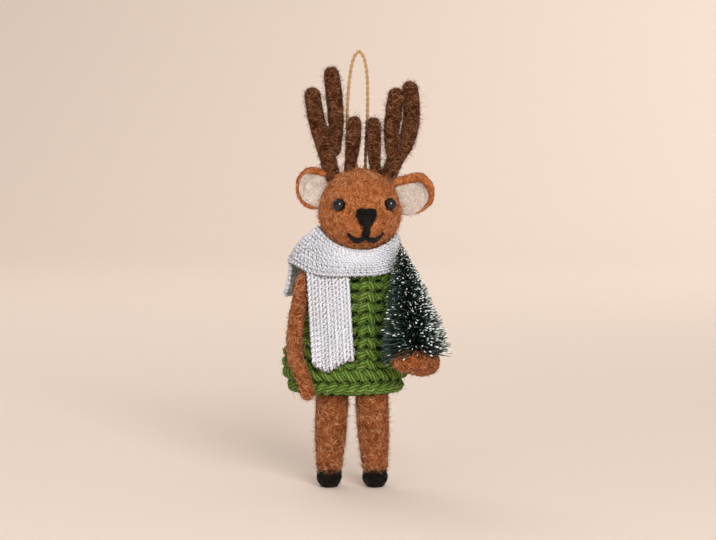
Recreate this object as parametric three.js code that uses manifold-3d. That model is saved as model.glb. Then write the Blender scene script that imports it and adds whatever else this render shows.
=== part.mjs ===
// A needle-felted wool deer ornament. It stands on two hooves, wears a ribbed sweater and a
// knitted scarf, carries a bottle-brush tree in its left arm and hangs by a loop of jute twine.
// Millimetres, +Z up. The deer faces -Y, so its own right side is at -X and its left side at +X.

import * as THREE from "three";
import { mergeVertices } from "three/addons/utils/BufferGeometryUtils.js";
import Module from "manifold-3d";

const wasm = await Module();
wasm.setup();

// Clearances
const GAP = 0.3; // between pieces that are felted or seated together
const WIRE_PLAY = 0.3; // between a wire and its bore
const ARM_PLAY = 0.7; // between an arm and the sweater beside it
const BRISTLE_PLAY = 1.2; // between the tree's bristle tips and the pieces beside them

// Hooves and legs
const HOOF_HEIGHT = 8.3;
const HOOF_WIDTH = 10.6;
const HOOF_DEPTH = 13.4;
const SOLE_SHARE = 0.76; // flat sole width over hoof width
const STANCE = 20.8; // between the hoof centres
const FEET_FORWARD = 1.6; // hooves and legs, in front of the body's middle
const HIP_SPACING = 16.8; // between the leg centres where they meet the torso
const LEG_WIDTH = 13.6;
const ANKLE_WIDTH = 11;
const LEG_WIRE_RADIUS = 0.8;

// Sweater: widths at heights above the hem
const HEM_HEIGHT = 41.6; // above the floor
const HEM_WIDTH = 49;
const SKIRT_RISE = 14;
const SKIRT_WIDTH = 57.6;
const WAIST_RISE = 30;
const WAIST_WIDTH = 52;
const CHEST_RISE = 45;
const CHEST_WIDTH = 49;
const SHOULDER_RISE = 56;
const SHOULDER_WIDTH = 40;
const COLLAR_RISE = 62.4;
const COLLAR_WIDTH = 24;
const BODY_DEPTH_SHARE = 0.7; // depth of the sweater and torso over their width
const KNIT_THICKNESS = 5;
const RIB_COUNT = 10;
const RIB_DEPTH = 2.4;
const RIB_TURN = 25; // degrees from the front to the first rib, evenly paced
const SKIRT_SHIFT = -3; // the skirt's middle, to the deer's right
const NECK_SHIFT = 1.5; // the collar's middle, to the deer's left

// Torso
const TORSO_BASE_RISE = 3.4; // torso's lowest point above the hem
const NECK_WIDTH = 12;
const NECK_WIRE_RADIUS = 0.9;
const NECK_WIRE_REACH = 15; // into the torso and into the head

// Head
const HEAD_WIDTH = 36.8;
const HEAD_DEPTH = 34;
const CROWN_HEIGHT = 19.6; // widest level to the top
const CHIN_DEPTH = 17.4; // widest level to the chin
const CHIN_RISE = 3; // chin above the collar
const HEAD_SHIFT = 3.5; // head's middle, to the deer's left
const HEAD_FORWARD = 2; // head's middle, in front of the collar's
const FACE_TURN = 8.5; // degrees, face turned to the deer's left
const MUZZLE_REACH = 3;
const MUZZLE_SPREAD = 30; // degrees
const MUZZLE_DROP = 16; // degrees below the widest level

// Face
const EYE_DIAMETER = 5.8;
const EYE_BEARING = 40.5; // degrees either side of the face
const EYE_RISE = 13; // degrees above the widest level
const EYE_SHANK_RADIUS = 0.6;
const EYE_SHANK_LENGTH = 6;
const NOSE_WIDTH = 8.6;
const NOSE_PROUD = 1.8;
const NOSE_TOP = 2.4; // above the widest level of the head
const PHILTRUM_WIDTH = 3.3;
const NOSE_HEIGHT = 11.6; // with the philtrum
const MOUTH_PROUD = 1.1;
const MOUTH_THICKNESS = 1.7;
const MOUTH_WIDTH = 8; // one stroke
const MOUTH_DIP = 3.2;
const MOUTH_LIFT = 1.2; // outer end above the inner one

// Ears
const EAR_HEIGHT = 19.4;
const EAR_WIDTH = 16;
const EAR_DEPTH = 4.4;
const EAR_WALL = 1.5;
const EAR_LINING = 1.2;
const EAR_STANDOFF = 5.2; // ear's middle, outside the head

// Antlers
const ANTLER_HEIGHT = 46.6; // beam's root to the middle of the highest tip
const ANTLER_RADIUS = 3.7;
const TINE_RADIUS = 3.4;
const ANTLER_RISE = 53; // degrees above the widest level
const ANTLER_PIN_RADIUS = 0.6;
const ANTLER_PIN_REACH = 7; // into the head and into the antler

// Arms
const ARM_RADIUS = 3.4;
const ARM_ROOT_STANDOFF = 2.2; // shoulder centre outside the sweater
const ARM_WIRE_RADIUS = 0.6;
const RIGHT_ARM_SWING = 50; // degrees, outward
const LEFT_ARM_SWING = 40; // degrees, outward

// Bottle-brush tree
const TREE_HEIGHT = 47; // bristled length
const TREE_RADIUS = 15;
const TREE_RISE = 22.5; // lowest bristles above the sweater's hem
const TREE_BEARING = 319; // degrees round the sweater
const STEM_RADIUS = 0.6;
const STEM_TAIL = 7.6; // lowest bristles down to the middle of the crook of the arm
const STEM_SOCKET = 2.6; // into the arm, past its middle line
const SLEEVE_RADIUS = 1.5;
const BRISTLE_COUNT = 340;
const BRISTLE_WIDTH = 0.5;
const BRISTLE_LIFT = 12; // degrees towards the tip
const TREE_SECTIONS = 4;

// Scarf
const SCARF_THICKNESS = 2.4;
const WRAP_FRONT_RISE = 55.4; // lower edge above the hem, in front
const WRAP_SIDE_RISE = 60; // at the sides and the back
const WRAP_DRAPE = 12; // how far the wrap spreads over the right shoulder
const WRAP_DRAPE_BEARING = 172; // degrees round the sweater
const TAIL_WIDTH = 18.6;
const TAIL_LENGTH = 40.6;
const TAIL_SHIFT = -10.6; // middle of the tail's top, to the deer's right
const TAIL_DRIFT = 2.2; // how far the tail slants to the deer's left
const TAIL_CUP = 1.4; // how far the tail's outer edge bends back
const TAIL_WAVE = 0.9; // of the tail's lower edge
const TAIL_LEE = 4; // the tail clears the sweater this far above and below
const FLAP_WIDTH = 16;
const FLAP_LENGTH = 14;
const FLAP_BEARING = 157; // degrees round the sweater

// Hanging loop
const TWINE_DIAMETER = 1.6;
const KNOT_RADIUS = 1.9;
const KNOT_DEPTH = 6;

// Facets
const HEAD_SIDES = 22;
const BODY_SIDES = RIB_COUNT * 4;
const LIMB_SIDES = 10;
const WIRE_SIDES = 8;

// Materials
function felt(colour) {
  return new THREE.MeshStandardMaterial({ color: colour, roughness: 0.95, metalness: 0 });
}
const BROWN_FELT = felt(0xb5682f);
const DARK_FELT = felt(0x5d3018);
const BLACK_FELT = felt(0x17130f);
const WHITE_FELT = felt(0xece8e0);
const CORE_FELT = felt(0x8a5a35);
const GREEN_KNIT = felt(0x3d5a35);
const WHITE_KNIT = felt(0xe9e6df);
const JUTE = felt(0xc59a55);
const BRISTLE = new THREE.MeshStandardMaterial({ color: 0x2c4a2e, roughness: 0.6, metalness: 0 });
const STEEL = new THREE.MeshStandardMaterial({ color: 0x8d8d88, roughness: 0.4, metalness: 1 });
const BEAD = new THREE.MeshStandardMaterial({ color: 0x0a0a0a, roughness: 0.08, metalness: 0 });

const deer = new THREE.Group();
deer.name = "felted_deer_ornament";

const rad = THREE.MathUtils.degToRad;
const vec = (x, y, z) => new THREE.Vector3(x, y, z);

// A geometry as a solid, turned the right way out.
function solid(geometry) {
  const bare = new THREE.BufferGeometry();
  bare.setAttribute("position", geometry.getAttribute("position"));
  bare.setIndex(geometry.getIndex());
  const merged = mergeVertices(bare, 1e-4);
  const corners = new Uint32Array(merged.getIndex().array);
  const vertices = new Float32Array(merged.getAttribute("position").array);
  const body = new wasm.Manifold(
    new wasm.Mesh({ numProp: 3, vertProperties: vertices, triVerts: corners }),
  );
  if (body.volume() > 0) return body;
  for (let i = 0; i < corners.length; i += 3) {
    [corners[i], corners[i + 1]] = [corners[i + 1], corners[i]];
  }
  return new wasm.Manifold(
    new wasm.Mesh({ numProp: 3, vertProperties: vertices, triVerts: corners }),
  );
}

// A solid as a named mesh of the deer.
function add(name, body, material, group = deer) {
  const mesh = body.getMesh();
  const geometry = new THREE.BufferGeometry();
  geometry.setAttribute("position", new THREE.BufferAttribute(new Float32Array(mesh.vertProperties), 3));
  geometry.setIndex(new THREE.BufferAttribute(new Uint32Array(mesh.triVerts), 1));
  geometry.computeVertexNormals();
  const piece = new THREE.Mesh(geometry, material);
  piece.name = name;
  group.add(piece);
  return piece;
}

// Rings of points joined into one closed skin, with a pole at each end.
function skin(first, rings, last) {
  const sides = rings[0].length;
  const positions = [...first.toArray()];
  for (const ring of rings) {
    for (const point of ring) positions.push(...point.toArray());
  }
  positions.push(...last.toArray());
  const at = (ring, side) => 1 + ring * sides + (side % sides);
  const end = 1 + rings.length * sides;
  const corners = [];
  for (let side = 0; side < sides; side += 1) {
    corners.push(0, at(0, side + 1), at(0, side));
    for (let ring = 0; ring < rings.length - 1; ring += 1) {
      corners.push(at(ring, side), at(ring, side + 1), at(ring + 1, side));
      corners.push(at(ring, side + 1), at(ring + 1, side + 1), at(ring + 1, side));
    }
    corners.push(end, at(rings.length - 1, side), at(rings.length - 1, side + 1));
  }
  const geometry = new THREE.BufferGeometry();
  geometry.setAttribute("position", new THREE.Float32BufferAttribute(positions, 3));
  geometry.setIndex(corners);
  return geometry;
}

// A value between the entries of a list, share 0 to 1.
function between(list, share) {
  const place = Math.min(Math.max(share, 0), 1) * (list.length - 1);
  const index = Math.min(Math.floor(place), list.length - 2);
  return THREE.MathUtils.lerp(list[index], list[index + 1], place - index);
}

// A limb that swells and tapers along a curve, with domed ends.
function limb(points, radii, { grow = 0, sides = LIMB_SIDES, steps = 12 } = {}) {
  const curve = new THREE.CatmullRomCurve3(points);
  const frames = curve.computeFrenetFrames(steps, false);
  const ringAt = (index, centre, radius) => {
    const ring = [];
    for (let side = 0; side < sides; side += 1) {
      const turn = (2 * Math.PI * side) / sides;
      const across = frames.normals[index].clone().multiplyScalar(Math.cos(turn) * radius);
      across.addScaledVector(frames.binormals[index], Math.sin(turn) * radius);
      ring.push(across.add(centre));
    }
    return ring;
  };
  const start = curve.getPointAt(0);
  const finish = curve.getPointAt(1);
  const startRadius = radii[0] + grow;
  const endRadius = radii[radii.length - 1] + grow;
  const rings = [];
  for (const tilt of [rad(32), rad(62)]) {
    const centre = start.clone().addScaledVector(frames.tangents[0], -startRadius * Math.cos(tilt));
    rings.push(ringAt(0, centre, startRadius * Math.sin(tilt)));
  }
  for (let index = 0; index <= steps; index += 1) {
    const share = index / steps;
    rings.push(ringAt(index, curve.getPointAt(share), between(radii, share) + grow));
  }
  for (const tilt of [rad(62), rad(32)]) {
    const centre = finish.clone().addScaledVector(frames.tangents[steps], endRadius * Math.cos(tilt));
    rings.push(ringAt(steps, centre, endRadius * Math.sin(tilt)));
  }
  const first = start.clone().addScaledVector(frames.tangents[0], -startRadius);
  const last = finish.clone().addScaledVector(frames.tangents[steps], endRadius);
  return solid(skin(first, rings, last));
}

// A straight round rod between two points, flat at both ends.
function rod(from, to, radius, sides = WIRE_SIDES) {
  const along = to.clone().sub(from);
  const geometry = new THREE.CylinderGeometry(radius, radius, along.length(), sides);
  geometry.translate(0, along.length() / 2, 0);
  const turn = new THREE.Quaternion().setFromUnitVectors(vec(0, 1, 0), along.normalize());
  geometry.applyQuaternion(turn);
  geometry.translate(from.x, from.y, from.z);
  return solid(geometry);
}

// A profile of radius and height turned round the Z axis.
function turned(profile, sides) {
  const points = profile.map(([radius, height]) => new THREE.Vector2(radius, height));
  const geometry = new THREE.LatheGeometry(points, sides);
  geometry.rotateX(Math.PI / 2);
  return geometry;
}

// A closed sheet. The point at u across, v along, on its front (1) or back (-1), comes from place.
function sheet(place, across, along, ring = false) {
  const rows = [];
  const count = ring ? along : along + 1;
  for (let step = 0; step < count; step += 1) {
    const row = [];
    for (let u = 0; u <= across; u += 1) row.push(place(u / across, step / along, 1));
    for (let u = across; u >= 0; u -= 1) row.push(place(u / across, step / along, -1));
    rows.push(row);
  }
  const middle = (row) => row[0].clone().add(row[across]).add(row[across + 1]).add(row[2 * across + 1]);
  if (!ring) {
    const first = middle(rows[0]).multiplyScalar(0.25);
    const last = middle(rows[rows.length - 1]).multiplyScalar(0.25);
    return solid(skin(first, rows, last));
  }
  const sides = rows[0].length;
  const positions = rows.flat().flatMap((point) => point.toArray());
  const at = (row, side) => (row % rows.length) * sides + (side % sides);
  const corners = [];
  for (let row = 0; row < rows.length; row += 1) {
    for (let side = 0; side < sides; side += 1) {
      corners.push(at(row, side), at(row, side + 1), at(row + 1, side));
      corners.push(at(row, side + 1), at(row + 1, side + 1), at(row + 1, side));
    }
  }
  const geometry = new THREE.BufferGeometry();
  geometry.setAttribute("position", new THREE.Float32BufferAttribute(positions, 3));
  geometry.setIndex(corners);
  return solid(geometry);
}

// Sweater and torso share one outline: half-widths at heights, smoothed between them.
const STATIONS = [
  [HEM_HEIGHT, HEM_WIDTH / 2],
  [HEM_HEIGHT + SKIRT_RISE, SKIRT_WIDTH / 2],
  [HEM_HEIGHT + WAIST_RISE, WAIST_WIDTH / 2],
  [HEM_HEIGHT + CHEST_RISE, CHEST_WIDTH / 2],
  [HEM_HEIGHT + SHOULDER_RISE, SHOULDER_WIDTH / 2],
  [HEM_HEIGHT + COLLAR_RISE, COLLAR_WIDTH / 2],
];
const COLLAR_HEIGHT = HEM_HEIGHT + COLLAR_RISE;

function slope(index) {
  const before = STATIONS[Math.max(index - 1, 0)];
  const after = STATIONS[Math.min(index + 1, STATIONS.length - 1)];
  return (after[1] - before[1]) / (after[0] - before[0]);
}

function sweaterHalfWidth(height) {
  let index = 0;
  while (index < STATIONS.length - 2 && height > STATIONS[index + 1][0]) index += 1;
  const [low, lowWidth] = STATIONS[index];
  const [high, highWidth] = STATIONS[index + 1];
  const span = high - low;
  const t = Math.min(Math.max((height - low) / span, 0), 1);
  const rise = 3 * t * t - 2 * t * t * t;
  const lead = t - 2 * t * t + t * t * t;
  const trail = t * t * t - t * t;
  return (
    THREE.MathUtils.lerp(lowWidth, highWidth, rise) +
    span * (lead * slope(index) + trail * slope(index + 1))
  );
}

function bodyMiddle(height) {
  const share = THREE.MathUtils.smoothstep(height, HEM_HEIGHT + WAIST_RISE, COLLAR_HEIGHT);
  return THREE.MathUtils.lerp(SKIRT_SHIFT, NECK_SHIFT, share);
}

// A round body of heights and half-widths made oval, and leant with the deer's body.
function ontoBody(geometry) {
  const spots = geometry.getAttribute("position");
  for (let i = 0; i < spots.count; i += 1) {
    spots.setX(i, spots.getX(i) + bodyMiddle(spots.getZ(i)));
    spots.setY(i, spots.getY(i) * BODY_DEPTH_SHARE);
  }
  return geometry;
}

// The point beside the sweater at a height and a bearing (0 left side, 90 back, 180 right, 270 front).
function besideSweater(height, bearing, standoff) {
  const half = sweaterHalfWidth(height);
  const turn = rad(bearing);
  const outward = vec(Math.cos(turn), Math.sin(turn) / BODY_DEPTH_SHARE, 0).normalize();
  const point = vec(half * Math.cos(turn), half * BODY_DEPTH_SHARE * Math.sin(turn), height);
  point.x += bodyMiddle(height);
  return point.addScaledVector(outward, standoff);
}

// The head: an egg of two half-heights with a soft muzzle, as a reach in every direction.
const HEAD_MIDDLE = vec(HEAD_SHIFT, -HEAD_FORWARD, COLLAR_HEIGHT + CHIN_RISE + CHIN_DEPTH);

function direction(bearing, rise) {
  const flat = Math.cos(rad(rise));
  return vec(flat * Math.cos(rad(bearing)), flat * Math.sin(rad(bearing)), Math.sin(rad(rise)));
}
const FACE_BEARING = 270 + FACE_TURN;
const MUZZLE = direction(FACE_BEARING, -MUZZLE_DROP);

function headReach(towards) {
  const half = towards.z > 0 ? CROWN_HEIGHT : CHIN_DEPTH;
  const across = Math.hypot(
    towards.x / (HEAD_WIDTH / 2),
    towards.y / (HEAD_DEPTH / 2),
    towards.z / half,
  );
  const apart = towards.angleTo(MUZZLE) / rad(MUZZLE_SPREAD);
  return 1 / across + MUZZLE_REACH * Math.exp(-apart * apart);
}

function onHead(bearing, rise, standoff = 0) {
  const towards = direction(bearing, rise);
  return HEAD_MIDDLE.clone().addScaledVector(towards, headReach(towards) + standoff);
}

function headSolid(grow) {
  const geometry = new THREE.SphereGeometry(1, HEAD_SIDES, HEAD_SIDES - 7);
  geometry.rotateX(Math.PI / 2);
  const spots = geometry.getAttribute("position");
  const towards = vec(0, 0, 0);
  for (let i = 0; i < spots.count; i += 1) {
    towards.fromBufferAttribute(spots, i).normalize();
    const reach = headReach(towards) + grow;
    spots.setXYZ(
      i,
      HEAD_MIDDLE.x + towards.x * reach,
      HEAD_MIDDLE.y + towards.y * reach,
      HEAD_MIDDLE.z + towards.z * reach,
    );
  }
  return solid(geometry);
}
const headClear = headSolid(GAP);

// Torso: fills the sweater, with a domed base and a neck cupped under the head.
function torsoSolid(grow) {
  const base = HEM_HEIGHT + TORSO_BASE_RISE - grow;
  const inside = (height) => sweaterHalfWidth(height) - KNIT_THICKNESS - GAP * 1.5 + grow;
  const profile = [[0, base]];
  const dome = 7;
  for (const tilt of [30, 55, 75, 90]) {
    const height = base + dome * (1 - Math.cos(rad(tilt)));
    profile.push([inside(base + dome) * Math.sin(rad(tilt)), height]);
  }
  const shoulder = HEM_HEIGHT + SHOULDER_RISE - 2.4;
  const steps = 6;
  for (let step = 1; step <= steps; step += 1) {
    const height = THREE.MathUtils.lerp(base + dome, shoulder, step / steps);
    profile.push([inside(height), height]);
  }
  profile.push([NECK_WIDTH / 2 + grow, COLLAR_HEIGHT - 1]);
  profile.push([NECK_WIDTH / 2 + grow, COLLAR_HEIGHT + CHIN_RISE + 2]);
  profile.push([0, COLLAR_HEIGHT + CHIN_RISE + 2]);
  return solid(ontoBody(turned(profile, 20)));
}
let torso = torsoSolid(0).subtract(headClear);

// Sweater: one knitted shell, open at the collar and the hem, with rounded ribs outside.
function sweaterSolid() {
  const profile = [];
  const steps = 10;
  for (let step = 0; step <= steps; step += 1) {
    const height = THREE.MathUtils.lerp(HEM_HEIGHT + 0.8, COLLAR_HEIGHT, step / steps);
    profile.push([sweaterHalfWidth(height), height]);
  }
  const outside = profile.length;
  const innerSteps = 9;
  for (let step = innerSteps; step >= 0; step -= 1) {
    const height = THREE.MathUtils.lerp(HEM_HEIGHT, COLLAR_HEIGHT, step / innerSteps);
    profile.push([sweaterHalfWidth(height) - KNIT_THICKNESS, height]);
  }
  profile.push([profile[0][0] - 1.6, HEM_HEIGHT]);
  profile.push(profile[0]);
  const geometry = turned(profile, BODY_SIDES);
  const evening = (1 - BODY_DEPTH_SHARE) / (1 + BODY_DEPTH_SHARE) / 2; // keeps the ribs one width
  const spots = geometry.getAttribute("position");
  for (let i = 0; i < spots.count; i += 1) {
    const level = i % profile.length;
    const inner = level >= outside && level < profile.length - 1;
    const from = Math.atan2(spots.getY(i), spots.getX(i));
    const even = from + rad(RIB_TURN);
    const turn = even - evening * Math.sin(2 * even) - Math.PI / 2;
    const valley = RIB_DEPTH * ((1 - Math.cos(RIB_COUNT * from)) / 2) ** 1.5;
    const radius = Math.hypot(spots.getX(i), spots.getY(i)) - (inner ? 0 : valley);
    spots.setXY(i, radius * Math.cos(turn), radius * Math.sin(turn));
  }
  return solid(ontoBody(geometry));
}
let sweater = sweaterSolid();

// Shoulders: a wire across the torso, its ends inside the roots of the arms.
const ARM_PIVOT_HEIGHT = HEM_HEIGHT + SHOULDER_RISE - 1;
const RIGHT_PIVOT = besideSweater(ARM_PIVOT_HEIGHT, 205, ARM_ROOT_STANDOFF);
const LEFT_PIVOT = besideSweater(ARM_PIVOT_HEIGHT, 335, ARM_ROOT_STANDOFF);
const ACROSS = LEFT_PIVOT.clone().sub(RIGHT_PIVOT).normalize();
const WIRE_STOP = 0.8; // from a wire's end to the centre of its shoulder
const shoulderFrom = RIGHT_PIVOT.clone().addScaledVector(ACROSS, WIRE_STOP);
const shoulderTo = LEFT_PIVOT.clone().addScaledVector(ACROSS, -WIRE_STOP);
const shoulderBore = rod(RIGHT_PIVOT, LEFT_PIVOT, ARM_WIRE_RADIUS + WIRE_PLAY);
torso = torso.subtract(shoulderBore);
sweater = sweater.subtract(shoulderBore);

// The room that the shoulder wire needs inside an arm while the arm swings.
function shoulderSlot(pivot, towards, axis, swing) {
  let slot = null;
  const stops = 4;
  for (let stop = 0; stop <= stops; stop += 1) {
    const turn = rad((-swing * stop) / stops);
    const end = towards.clone().applyAxisAngle(axis, turn).multiplyScalar(ARM_RADIUS * 1.6).add(pivot);
    const channel = rod(pivot, end, ARM_WIRE_RADIUS + WIRE_PLAY * 1.5);
    slot = slot ? slot.add(channel) : channel;
  }
  return slot;
}

// An arm, its wire, and the armhole and seat that its root needs in the sweater.
function buildArm(name, points, pivot, towards, axis, swing, socket) {
  const radii = [ARM_RADIUS, ARM_RADIUS, ARM_RADIUS * 1.06, ARM_RADIUS, ARM_RADIUS * 0.92];
  const wirePoints = new THREE.CatmullRomCurve3(points).getSpacedPoints(20);
  const wire = limb(wirePoints.slice(2, 18), [ARM_WIRE_RADIUS, ARM_WIRE_RADIUS], { sides: 6, steps: 12 });
  const bore = limb(
    wirePoints.slice(0, 19),
    [ARM_WIRE_RADIUS + WIRE_PLAY * 2, ARM_WIRE_RADIUS + WIRE_PLAY * 2],
    { sides: 6, steps: 14 },
  );
  let arm = limb(points, radii, { steps: 14 });
  arm = arm.subtract(bore).subtract(shoulderSlot(pivot, towards, axis, swing));
  if (socket) arm = arm.subtract(socket);
  add(name, arm, BROWN_FELT);
  add(`${name}_wire`, wire, STEEL);
  const seat = new THREE.SphereGeometry(ARM_RADIUS + GAP * 2, 12, 8);
  seat.translate(pivot.x, pivot.y, pivot.z);
  const inward = towards.clone().multiplyScalar(KNIT_THICKNESS * 0.8).add(pivot);
  return solid(seat).add(rod(pivot, inward, ARM_RADIUS + GAP, 12));
}

// Right arm: hangs over the front of the sweater, bowed outward.
const beside = ARM_RADIUS + ARM_PLAY;
const armHeight = (share) => HEM_HEIGHT + SHOULDER_RISE * share;
const rightArmPoints = [
  RIGHT_PIVOT,
  besideSweater(armHeight(0.911), 212, beside + ARM_PLAY * 0.7),
  besideSweater(armHeight(0.821), 218, beside + ARM_PLAY * 0.4),
  besideSweater(armHeight(0.661), 220, beside),
  besideSweater(armHeight(0.489), 221, beside),
  besideSweater(armHeight(0.329), 226, beside),
  besideSweater(armHeight(0.168), 234, beside),
  besideSweater(armHeight(0.061), 237, beside + ARM_RADIUS * 0.7),
];
const rightArmhole = buildArm(
  "arm_right",
  rightArmPoints,
  RIGHT_PIVOT,
  ACROSS,
  vec(0, 1, 0),
  RIGHT_ARM_SWING,
);

// Tree: stands beside the sweater at its bristles' reach, leaning in towards the chest.
const treeFoot = besideSweater(HEM_HEIGHT + TREE_RISE, TREE_BEARING, TREE_RADIUS + BRISTLE_PLAY);
const treeUp = vec(-6.4, 7.4, 46).normalize();
const crook = treeFoot.clone().addScaledVector(treeUp, -STEM_TAIL);
const tree = new THREE.Group();
tree.name = "bottle_brush_tree";
tree.position.copy(treeFoot);
tree.quaternion.setFromUnitVectors(vec(0, 0, 1), treeUp);
deer.add(tree);

const stemLow = vec(0, 0, -STEM_TAIL - STEM_SOCKET + GAP);
add("tree_stem", rod(stemLow, vec(0, 0, TREE_HEIGHT + 1.6), STEM_RADIUS), STEEL, tree);

// One slice of the bristles: a sleeve round the stem with its strands fused on.
const sectionLength = TREE_HEIGHT / TREE_SECTIONS;
const goldenTurn = Math.PI * (3 - Math.sqrt(5));

function strand(index) {
  const share = (index + 0.5) / BRISTLE_COUNT;
  const turn = goldenTurn * index;
  const outward = vec(Math.cos(turn), Math.sin(turn), 0);
  const along = outward.clone().multiplyScalar(Math.cos(rad(BRISTLE_LIFT)));
  along.z = Math.sin(rad(BRISTLE_LIFT));
  const aside = vec(-Math.sin(turn), Math.cos(turn), 0);
  const upright = along.clone().cross(aside);
  const inset = SLEEVE_RADIUS * 0.76;
  const reach = TREE_RADIUS * (1 - share) ** 0.8 + 1.2 - inset;
  const root = outward.multiplyScalar(inset);
  root.z = share * TREE_HEIGHT;
  const ring = [0, 1, 2].map((corner) => {
    const spin = (2 * Math.PI * corner) / 3;
    const spot = aside.clone().multiplyScalar(Math.cos(spin) * BRISTLE_WIDTH * 0.58);
    return spot.addScaledVector(upright, Math.sin(spin) * BRISTLE_WIDTH * 0.58).add(root);
  });
  return solid(skin(root, [ring], root.clone().addScaledVector(along, reach)));
}

for (let section = 0; section < TREE_SECTIONS; section += 1) {
  const low = section * sectionLength + (section > 0 ? GAP : 0) - 0.4;
  const high = (section + 1) * sectionLength - 0.4;
  const bore = STEM_RADIUS + WIRE_PLAY;
  const sleeve = solid(
    turned([[bore, low], [SLEEVE_RADIUS, low], [SLEEVE_RADIUS, high], [bore, high], [bore, low]], 12),
  );
  const pieces = [sleeve];
  for (let index = 0; index < BRISTLE_COUNT; index += 1) {
    const root = ((index + 0.5) / BRISTLE_COUNT) * TREE_HEIGHT;
    if (root - BRISTLE_WIDTH > low && root + BRISTLE_WIDTH < high) pieces.push(strand(index));
  }
  add(`tree_bristles_${section + 1}`, wasm.Manifold.union(pieces), BRISTLE, tree);
}

// Left arm: down behind the tree, forward under it, and curled up round its stem.
function behindTree(rise) {
  const point = treeFoot.clone().addScaledVector(treeUp, rise / treeUp.z);
  const clear = TREE_RADIUS + ARM_RADIUS + BRISTLE_PLAY;
  return point.add(vec(0.3 * clear, 0.954 * clear, 0));
}
const fromCrook = (x, y, z) => vec(x, y, z).multiplyScalar(ARM_RADIUS).add(crook);
const leftArmPoints = [
  LEFT_PIVOT,
  besideSweater(armHeight(0.868), 345, ARM_RADIUS * 2.1),
  behindTree(TREE_HEIGHT * 0.33),
  behindTree(TREE_HEIGHT * 0.15),
  behindTree(TREE_HEIGHT * -0.026),
  fromCrook(2, 3.35, 0.41),
  fromCrook(1.41, 1.41, 0.03),
  crook,
  fromCrook(-2.41, 0.24, 0.88),
];
const socketEnd = crook.clone().addScaledVector(treeUp, -STEM_SOCKET);
const stemSocket = rod(socketEnd, treeFoot, STEM_RADIUS + WIRE_PLAY);
const leftArmhole = buildArm(
  "arm_left",
  leftArmPoints,
  LEFT_PIVOT,
  ACROSS.clone().negate(),
  vec(0, 0, 1),
  LEFT_ARM_SWING,
  stemSocket,
);
sweater = sweater.subtract(rightArmhole).subtract(leftArmhole);
torso = torso.subtract(rightArmhole).subtract(leftArmhole);
add("shoulder_wire", rod(shoulderFrom, shoulderTo, ARM_WIRE_RADIUS), STEEL);

// Legs and hooves, with a wire from each hoof through its leg into the torso.
const torsoClear = torsoSolid(GAP);
const hoofProfile = [
  [0, 0],
  [(HOOF_WIDTH / 2) * SOLE_SHARE, 0],
  [(HOOF_WIDTH / 2) * 0.93, HOOF_HEIGHT * 0.16],
  [HOOF_WIDTH / 2, HOOF_HEIGHT * 0.42],
  [(HOOF_WIDTH / 2) * 0.97, HOOF_HEIGHT * 0.8],
  [(HOOF_WIDTH / 2) * 0.86, HOOF_HEIGHT],
  [0, HOOF_HEIGHT],
];
for (const [side, name] of [[-1, "right"], [1, "left"]]) {
  const foot = (side * STANCE) / 2;
  const hip = (side * HIP_SPACING) / 2;
  const wireFrom = vec(foot, -FEET_FORWARD, HOOF_HEIGHT * 0.4);
  const wireTo = vec(hip, -FEET_FORWARD, HEM_HEIGHT + WAIST_RISE * 0.75);
  const wireAlong = wireTo.clone().sub(wireFrom).normalize();
  const bore = rod(
    wireFrom.clone().addScaledVector(wireAlong, -WIRE_PLAY),
    wireTo.clone().addScaledVector(wireAlong, WIRE_PLAY),
    LEG_WIRE_RADIUS + WIRE_PLAY,
  );
  const hoof = turned(hoofProfile, 16);
  hoof.scale(1, HOOF_DEPTH / HOOF_WIDTH, 1);
  hoof.translate(foot, -FEET_FORWARD, 0);
  add(`hoof_${name}`, solid(hoof).subtract(bore), BLACK_FELT);

  const ankle = HOOF_HEIGHT + GAP;
  const top = HEM_HEIGHT + TORSO_BASE_RISE + 7;
  const legAt = (share) => {
    const height = THREE.MathUtils.lerp(ankle, top, share);
    return vec(THREE.MathUtils.lerp(foot, hip, share), -FEET_FORWARD, height);
  };
  const legRadii = [0, 0.1, 0.5, 0.85, 0.97, 1, 1, 1, 1].map(
    (swell) => THREE.MathUtils.lerp(ANKLE_WIDTH / 2, LEG_WIDTH / 2, swell),
  );
  const shaft = limb([legAt(0), legAt(0.5), legAt(1)], legRadii, { sides: 14, steps: 8 });
  const hoofRoom = new THREE.BoxGeometry(LEG_WIDTH * 2, LEG_WIDTH * 2, 20);
  hoofRoom.translate(foot, -FEET_FORWARD, ankle - 10);
  add(`leg_${name}`, shaft.subtract(solid(hoofRoom)).subtract(torsoClear).subtract(bore), BROWN_FELT);
  add(`leg_${name}_wire`, rod(wireFrom, wireTo, LEG_WIRE_RADIUS), STEEL);
  torso = torso.subtract(bore);
}

// Neck wire: upright on the head's middle line, so the head can turn on it.
const neckLow = vec(HEAD_MIDDLE.x, HEAD_MIDDLE.y, COLLAR_HEIGHT - NECK_WIRE_REACH);
const neckHigh = vec(HEAD_MIDDLE.x, HEAD_MIDDLE.y, COLLAR_HEIGHT + CHIN_RISE + NECK_WIRE_REACH);
add("neck_wire", rod(neckLow, neckHigh, NECK_WIRE_RADIUS), STEEL);
const neckBore = rod(
  neckLow.clone().add(vec(0, 0, -WIRE_PLAY)),
  neckHigh.clone().add(vec(0, 0, WIRE_PLAY)),
  NECK_WIRE_RADIUS + WIRE_PLAY,
);
torso = torso.subtract(neckBore);
add("torso", torso, CORE_FELT);
add("sweater", sweater, GREEN_KNIT);

let head = headSolid(0).subtract(neckBore);

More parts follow.
